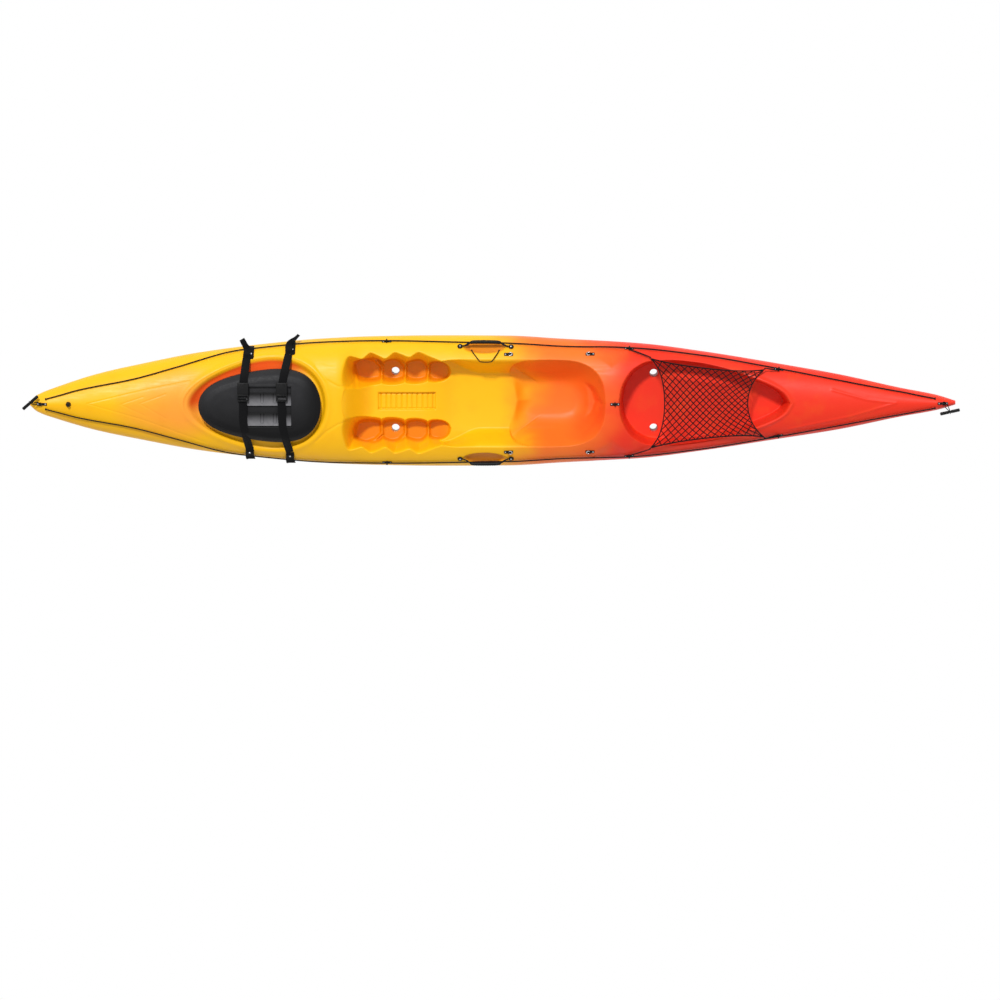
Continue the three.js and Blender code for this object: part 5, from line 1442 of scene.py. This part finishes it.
# A cord over the deck from eye to eye, with a knot at each end
def makeLine(name, side):
    xs = np.linspace(line["bow"], line["stern"], line["spots"])
    eyes = np.array(lineEyes[name])
    xs = xs[np.min(np.abs(xs[:, None] - eyes[None, :, 0]), 1) > line["clear"]]
    points = [raised(seatAt(x, y), line["lift"])[0] for x, y in zip(xs, lineY(xs, side))]
    path = smoothPath(sorted([*points, *eyes], key=lambda p: p[0]), 520)
    cord = tube(path, line["radius"], 12)
    piece = makePiece(f"line_{name}", [cord], cordBraid, stands=[f"deck_line_{name}"])
    cordMap(piece, path)
    knots = [overhandKnot(path[0], path[6] - path[0]), overhandKnot(path[-1], path[-7] - path[-1])]
    evenMap(makePiece(f"line_{name}_knots", knots, cordBraid), knotStep)


# A trefoil of cord drawn tight, about its own run
def overhandKnot(at, run, size=3.4, radius=2.4):
    t = np.linspace(0, 2 * math.pi, 60, endpoint=False)
    shape = [np.sin(t) + 2 * np.sin(2 * t), np.cos(t) - 2 * np.cos(2 * t), -np.sin(3 * t)]
    shape = np.stack(shape, -1) * size / 3
    z = unit(run)
    x = unit(np.cross(z, (0, 0, 1) if abs(z[2]) < 0.9 else (1, 0, 0)))
    y = np.cross(z, x)
    path = at + shape[:, :1] * x + shape[:, 1:2] * y + shape[:, 2:] * z
    return tube(path, radius, 12, True)


for sideName, side in sides.items():
    makeLine(sideName, side)
print("lines made")

# Toggle grips


toggle = {"half": 48.5, "radius": 8, "waist": 6, "groove": 7.3, "pitch": 3.4, "grooves": 9, "side": 6.6}


# A turned bar with nine grooves in each half and a waist for its cord
def toggleBarPart():
    half, radius, groove = toggle["half"], toggle["radius"], toggle["groove"]
    profile = [(0, -half), (4.6, -half), (7, -47.2), (radius, -44.5)]
    for i in range(toggle["grooves"]):
        z = -40 + toggle["pitch"] * i
        profile += [(radius, z), (radius, z + 1.2), (groove, z + 1.7), (groove, z + 2.4), (radius, z + 2.9)]
    waist = toggle["waist"]
    profile += [(radius, -9), (7.2, -6), (waist, -4.5), (waist, 4.5), (7.2, 6), (radius, 9)]
    return lathe(profile + [(r, -z) for r, z in profile[::-1] if z < -9], 32)


# A grip beside its padeye, and the loop that joins them: through the eye and round the grip's waist
def makeToggle(name, seat, spot):
    pivot = raised(seat, eyeHeight(toggleWire))[0]
    middle = pivot + np.array([spot["along"], spot["across"], spot["rise"]], float)
    yaw, pitch = spot["yaw"], spot["pitch"]
    axis = np.array([math.cos(yaw) * math.cos(pitch), math.sin(yaw) * math.cos(pitch), math.sin(pitch)])
    x = unit(np.cross(axis, (0, 0, 1)))
    bar = placed(toggleBarPart(), middle, x, np.cross(axis, x), axis)
    makePiece(name + "_grip", [bar], blackPlastic, name, [name], 40)
    outward = math.copysign(1, spot["along"])
    way = unit(middle - pivot)
    over = unit(np.cross(axis, way))
    ahead = unit(np.cross(over, axis))
    ring = toggle["waist"] + toggleWire * padeye["eyeShare"] + 0.3
    flip = -1 if over[1] < 0 else 1
    out = toggle["side"]

    def roundAt(turn):
        return middle + ahead * ring * math.cos(turn) + over * ring * math.sin(turn)

    def beside(side):
        apart = np.array([-way[1], way[0], 0])
        apart = apart / np.linalg.norm(apart) * math.copysign(1, way[0]) * side * out
        lead = pivot + np.array([*spot["lead"], 0.0]) + apart
        return [pivot + np.array([0, side * out / 2, 0]), pivot + np.array([outward * 1.65, side * out, 0]),
                pivot + np.array([outward * 9.5, side * out, 0]), lead]

    points = [*beside(1), *[roundAt(flip * t) for t in (2.2, 1.1, 0, -1.1, -2.2)], *beside(-1)[::-1]]
    path = smoothPath(points, 130, True)
    loop = [tube(path, toggleWire, 12, True)]
    cordMap(makePiece(name + "_loop", loop, cordBraid, name, [name + "_cord"]), path)


makeToggle("bow_toggle", bowSeat, {
    "along": -53, "across": 9, "rise": 9, "yaw": .72, "pitch": 0, "lead": (-22, 3),
})
makeToggle("stern_toggle", sternSeat, {
    "along": 36, "across": -43, "rise": -20, "yaw": .23, "pitch": .1, "lead": (17, -14),
})

# Drain bung: radius and height of its profile, from the plug up to the knob
bung = {"x": -2061, "stem": 14, "profile": [
    (0, -14), (6.2, -14), (7, -13), (7, -10), (6.5, -9.5), (6.5, -8), (7, -7.5), (7, -0.2), (12, -0.1),
    (12.5, 0.8), (12.5, 4.8), (12, 6), (10.4, 7), (8.4, 18), (7.6, 21.5), (6.4, 22.6), (5, 24.2),
    (3, 25), (0, 25),
]}
bungPart = moved(lathe(bung["profile"], 40), bung["x"], 0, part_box("drain_bung")[0].z * 1000 + bung["stem"])
makePiece("bung_plug", [bungPart], blackPlastic, "drain_bung", ["drain_bung"], 40)

# Carry handles: centre, half span between the screws, and shares along the half span with the shares
# of the height that the webbing stands off, and of its width, at each
handle = {
    "x": -36.0, "half": 124, "high": 25, "wide": 25, "thick": 3, "lean": 0.52, "cap": 13.4, "radius": 9.2,
    "rise": [(0, 1), (.5, .98), (.68, .86), (.9, .04), (1, 0)],
    "width": [(0, .6), (.7, .6), (.78, .92), (.88, .48), (1, .44)], "gripEnd": 0.66, "ripples": 13,
}
handleCap = [(0, 0), (12.4, 0), (13, 0.8), (13, 3.6), (11.8, 4.8), (6, 5.6), (0, 5.6)]


# Webbing that stands out between two screws, with a rippled grip round its middle
def makeHandle(name, side):
    body = "handle_" + name
    ends = []
    for suffix, way in (("front", -1), ("rear", 1)):
        x = handle["x"] + way * handle["half"]
        seat = seatAt(x, side * float(beamAt(x)) * gunwaleShare, 0, 0.4)
        node = f"{body}_cap_{suffix}"
        cap = placed(lathe(handleCap, 40), *seat)
        makePiece(node + "_washer", [cap], blackPlastic, stands=[node], sharp=40)
        makePiece(node + "_screw", screwPart(raised(seat, 5.4), 4.2, 2.2), steel, sharp=40)
        ends.append(raised(seat, 5)[0])
    t = np.linspace(-1, 1, 90)
    rise, width = np.array(handle["rise"]), np.array(handle["width"])
    height = np.interp(np.abs(t), rise[:, 0], rise[:, 1])
    height = np.convolve(np.pad(height, 5, mode="edge"), np.ones(11) / 11, "valid")
    out = np.array([0, side * math.cos(handle["lean"]), math.sin(handle["lean"])])
    wide = np.array([0, -math.sin(handle["lean"]), side * math.cos(handle["lean"])])
    reachShare = 1 - handle["cap"] / handle["half"]
    span = (ends[1] - ends[0]) * (t * reachShare / 2)[:, None]
    path = (ends[0] + ends[1]) / 2 + span + out * (handle["high"] * height)[:, None]
    widths = handle["wide"] * np.interp(np.abs(t), width[:, 0], width[:, 1])
    webbingPiece(body + "_band", path, widths, wide, body, [body + "_webbing"], handle["thick"])
    spine = smoothPath(path[np.abs(t) <= handle["gripEnd"]], 110)
    alongGrip = np.linspace(-1, 1, len(spine))
    ripple = 0.45 * np.cos(alongGrip * handle["ripples"] * math.pi) * (np.abs(alongGrip) < 0.85)
    radius = handle["radius"] - 1.5 * np.abs(alongGrip) ** 6 + ripple
    grip = tube(spine, radius, 28, up=tuple(wide))
    makePiece(body + "_tube", [grip], blackPlastic, body, [body + "_grip"], 50)


for sideName, side in sides.items():
    makeHandle(sideName, side)
print("handles made")

# Net over the tank well: its corners, how far each edge curves in, and its meshes along and across
net = {
    "bow": 795, "stern": 1294, "bowHalf": 206, "sternHalf": 152, "bowDip": 39, "sternDip": 56, "sideDip": 9,
    "height": 276, "crown": 5, "rows": 13, "columns": 11, "strand": 2.2, "apart": 0.9,
    "bowCorner": 26, "sternCorner": 22,
}
netKnot = [(0, -2.8), (2.2, -2.2), (3.2, 0), (2.2, 2.2), (0, 2.8)]


# A place on the net, from 0 at its bow edge to 1 at its stern edge and -1 to 1 from port to starboard
def netPoint(s, t):
    s, t = np.asarray(s, float), np.asarray(t, float)
    half = net["bowHalf"] + (net["sternHalf"] - net["bowHalf"]) * s - 4 * net["sideDip"] * s * (1 - s)
    bow = net["bow"] + net["bowDip"] * (1 - t * t)
    stern = net["stern"] - net["sternDip"] * (1 - t * t)
    x, y = bow + (stern - bow) * s, half * t
    # Each corner is drawn out towards its padeye
    x = x - net["bowCorner"] * np.abs(t) ** 7 * (1 - s) ** 9 + net["sternCorner"] * np.abs(t) ** 7 * s ** 9
    y = y + 12 * np.sign(t) * np.abs(t) ** 7 * ((1 - s) ** 9 + s ** 9)
    return np.stack([x, y, net["height"] + net["crown"] * (1 - (y / net["bowHalf"]) ** 2)], -1)


# Two sets of slanting strands that cross in small knots, inside a doubled hem
def makeNet():
    parts, lengths = [], []

    def strand(points, lift):
        path = smoothPath(points, max(8, len(points) * 5)) + np.array([0, 0, lift])
        parts.append(tube(path, net["strand"], 8))
        count = len(path) + 2 * len(cordEnd["shares"])
        run = np.interp(np.linspace(0, 1, count), np.linspace(0, 1, len(path)), runOf(path) * 0.001)
        lengths.append(np.repeat(run, 8))

    long, wide = 2 * net["rows"], 2 * net["columns"]

    def crossing(i, j):
        return netPoint(i / long, 2 * j / wide - 1)

    for way in (1, -1):
        starts = [(0, j) for j in range(0, wide + 1, 2)]
        starts += [(i, 0 if way > 0 else wide) for i in range(2, long, 2)]
        for i, j in starts:
            spots = []
            while 0 <= i <= long and 0 <= j <= wide:
                spots.append(crossing(i, j))
                i, j = i + 1, j + way
            if len(spots) > 1:
                strand(spots, net["apart"] * way)
    knots = []
    for i in range(0, long + 1):
        for j in range(i % 2, wide + 1, 2):
            knots.append(moved(lathe(netKnot, 8), *crossing(i, j)))
    edge = np.linspace(0, 1, 40)
    rim = np.concatenate([
        netPoint(0, 2 * edge - 1), netPoint(edge[1:], 1.0), netPoint(1, 1 - 2 * edge[1:]),
        netPoint(1 - edge[1:-1], -1.0),
    ])
    path = smoothPath(rim, 260, True)
    upper, lower = path + np.array([0, 0, 0.6]), path * np.array([1, 0.99, 1]) - np.array([0, 0, 1.4])
    piece = makePiece("net_strands", parts, cordBraid, stands=["tank_net"])
    alongMap(piece, np.concatenate(lengths), np.tile(np.arange(8) / 8, len(piece.data.vertices) // 8))
    hem = [tube(upper, 2.5, 10, True), tube(lower, 2.1, 10, True)]
    cordMap(makePiece("net_hem", hem, cordBraid), np.concatenate([path, path]), 10)
    knotPiece = makePiece("net_knots", knots, cordBraid)
    count = np.arange(len(knotPiece.data.vertices))
    alongMap(knotPiece, count * 0.0007, count * 0.13)


makeNet()

tie = {"off": 13.6, "beyond": 8, "radius": 1.9, "step": 0.0015}


# Two turns of cord from each net corner to its padeye, with a knot at either end
def makeTies():
    for end, s in (("front", 0), ("rear", 1)):
        for name, side in sides.items():
            seat = netSeats[f"net_padeye_{end}{name}"]
            corner = netPoint(s, float(side))
            start = seat[0] + seat[3] * padeye["lineEye"] - side * seat[2] * tie["off"]
            stop = corner + unit(np.array([-1.0 if s == 0 else 1.0, side, 0])) * tie["beyond"]
            middle, ahead, radius = (start + stop) / 2, stop - start, tie["radius"]
            one = smoothPath([start, middle + [0, 0, 1.5], stop, corner], 26)
            low = [start + [2, 0, -2], middle + [3, side * 2, -2.5], stop + [2, 0, -1.5], corner]
            other = smoothPath(low, 26)
            parts = [
                tube(one, radius, 12), tube(other, radius, 12), overhandKnot(start, ahead, 3.0, 2.0),
                overhandKnot(stop, ahead, 2.8, radius),
            ]
            node = f"net_tie_{end}_{name}"
            evenMap(makePiece(node + "_cord", parts, cordBraid, stands=[node]), tie["step"])


makeTies()

# Paddle bungee: its ends' and its middle's places along the boat, and its lines' distances out
bungee = {
    "ends": (-104, 30), "middle": (-63, -7), "outer": 256, "inner": 205, "radius": 2.4, "lift": 10.5,
    "end": 5.3, "plainFrom": 232, "least": 247,
}


# Down from one end, across behind the finger scoop and back up to the other end
def makeBungee():
    def over(x, y):
        surface = plainDeck if y > bungee["plainFrom"] else deckSurface
        return [x, y, max(heightAt(surface, x, y) + bungee["lift"], bungee["least"])]

    def leg(start, middle):
        outer, inner = bungee["outer"], bungee["inner"]
        return [over(start + (middle - start) * i / 6, outer + (inner - outer) * i / 6) for i in range(7)]

    (bow, stern), (bowMiddle, sternMiddle) = bungee["ends"], bungee["middle"]
    points = [*leg(bow, bowMiddle), *leg(stern, sternMiddle)[::-1]]
    for p in (points[0], points[-1]):
        p[2] = heightAt(deckSurface, p[0], p[1]) + bungee["end"]
    path = smoothPath(points, 120)
    cord = tube(path, bungee["radius"], 12)
    cordMap(makePiece("bungee_cord", [cord], cordBraid, stands=["paddle_bungee"]), path)
    knots = [
        overhandKnot(path[0], path[5] - path[0], 2.8, 1.9),
        overhandKnot(path[-1], path[-6] - path[-1], 2.8, 1.9),
    ]
    evenMap(makePiece("bungee_knots", knots, cordBraid), knotStep)


makeBungee()
print("net and bungee made")

# Floor and light
stage = {"half": 30, "floor": -0.002, "sky": 0.5, "sun": 2.3, "sunAngle": 6, "toward": (-0.25, 1.0, 1.48)}


# White paper where the camera, glass and metal look at it, and plain paper for light and shadow
def makeFloor():
    s = Shader("floor_paper", Roughness=0.9)
    s.set("Base Color", s.mixed(s.ramp(s.noise(3, 2), 0.3, 0.7), tint(244, 244, 244), tint(240, 240, 240)))
    paper = s.add("ShaderNodeEmission", {"Color": (1, 1, 1, 1), "Strength": 1.0})
    blend = s.add("ShaderNodeMixShader", {0: seenBy(s.tree)})
    s.tree.links.new(s.base.outputs[0], blend.inputs[1])
    s.tree.links.new(paper.outputs[0], blend.inputs[2])
    s.tree.links.new(blend.outputs[0], s.tree.nodes["Material Output"].inputs["Surface"])
    half, z = stage["half"], stage["floor"]
    mesh = bpy.data.meshes.new("floor")
    corners = [(-half, -half, z), (half, -half, z), (half, half, z), (-half, half, z)]
    mesh.from_pydata(corners, [], [(0, 1, 2, 3)])
    mesh.materials.append(s.material)
    floor = bpy.data.objects.new("floor", mesh)
    scene.collection.objects.link(floor)


# 1 for camera, glossy and transmission rays, and 0 for the rest
def seenBy(tree):
    rays = tree.nodes.new("ShaderNodeLightPath")
    seen = rays.outputs["Is Camera Ray"]
    for kind in ("Glossy", "Transmission"):
        larger = tree.nodes.new("ShaderNodeMath")
        larger.operation = "MAXIMUM"
        tree.links.new(seen, larger.inputs[0])
        tree.links.new(rays.outputs[f"Is {kind} Ray"], larger.inputs[1])
        seen = larger.outputs[0]
    return seen


def makeSky():
    world = bpy.data.worlds.new("sky")
    world.use_nodes = True
    tree = world.node_tree
    bright = tree.nodes.new("ShaderNodeMapRange")
    bright.inputs["To Min"].default_value = stage["sky"]
    bright.inputs["To Max"].default_value = 1.0
    tree.links.new(seenBy(tree), bright.inputs["Value"])
    back = tree.nodes["Background"]
    back.inputs[0].default_value = (1, 1, 1, 1)
    tree.links.new(bright.outputs[0], back.inputs[1])
    scene.world = world


def makeSun():
    sun = bpy.data.lights.new("key", "SUN")
    sun.energy = stage["sun"]
    sun.angle = math.radians(stage["sunAngle"])
    piece = bpy.data.objects.new("key", sun)
    piece.rotation_euler = Vector(stage["toward"]).normalized().to_track_quat("Z", "Y").to_euler()
    scene.collection.objects.link(piece)


makeFloor()
makeSky()
makeSun()
scene.view_settings.view_transform = "Standard"
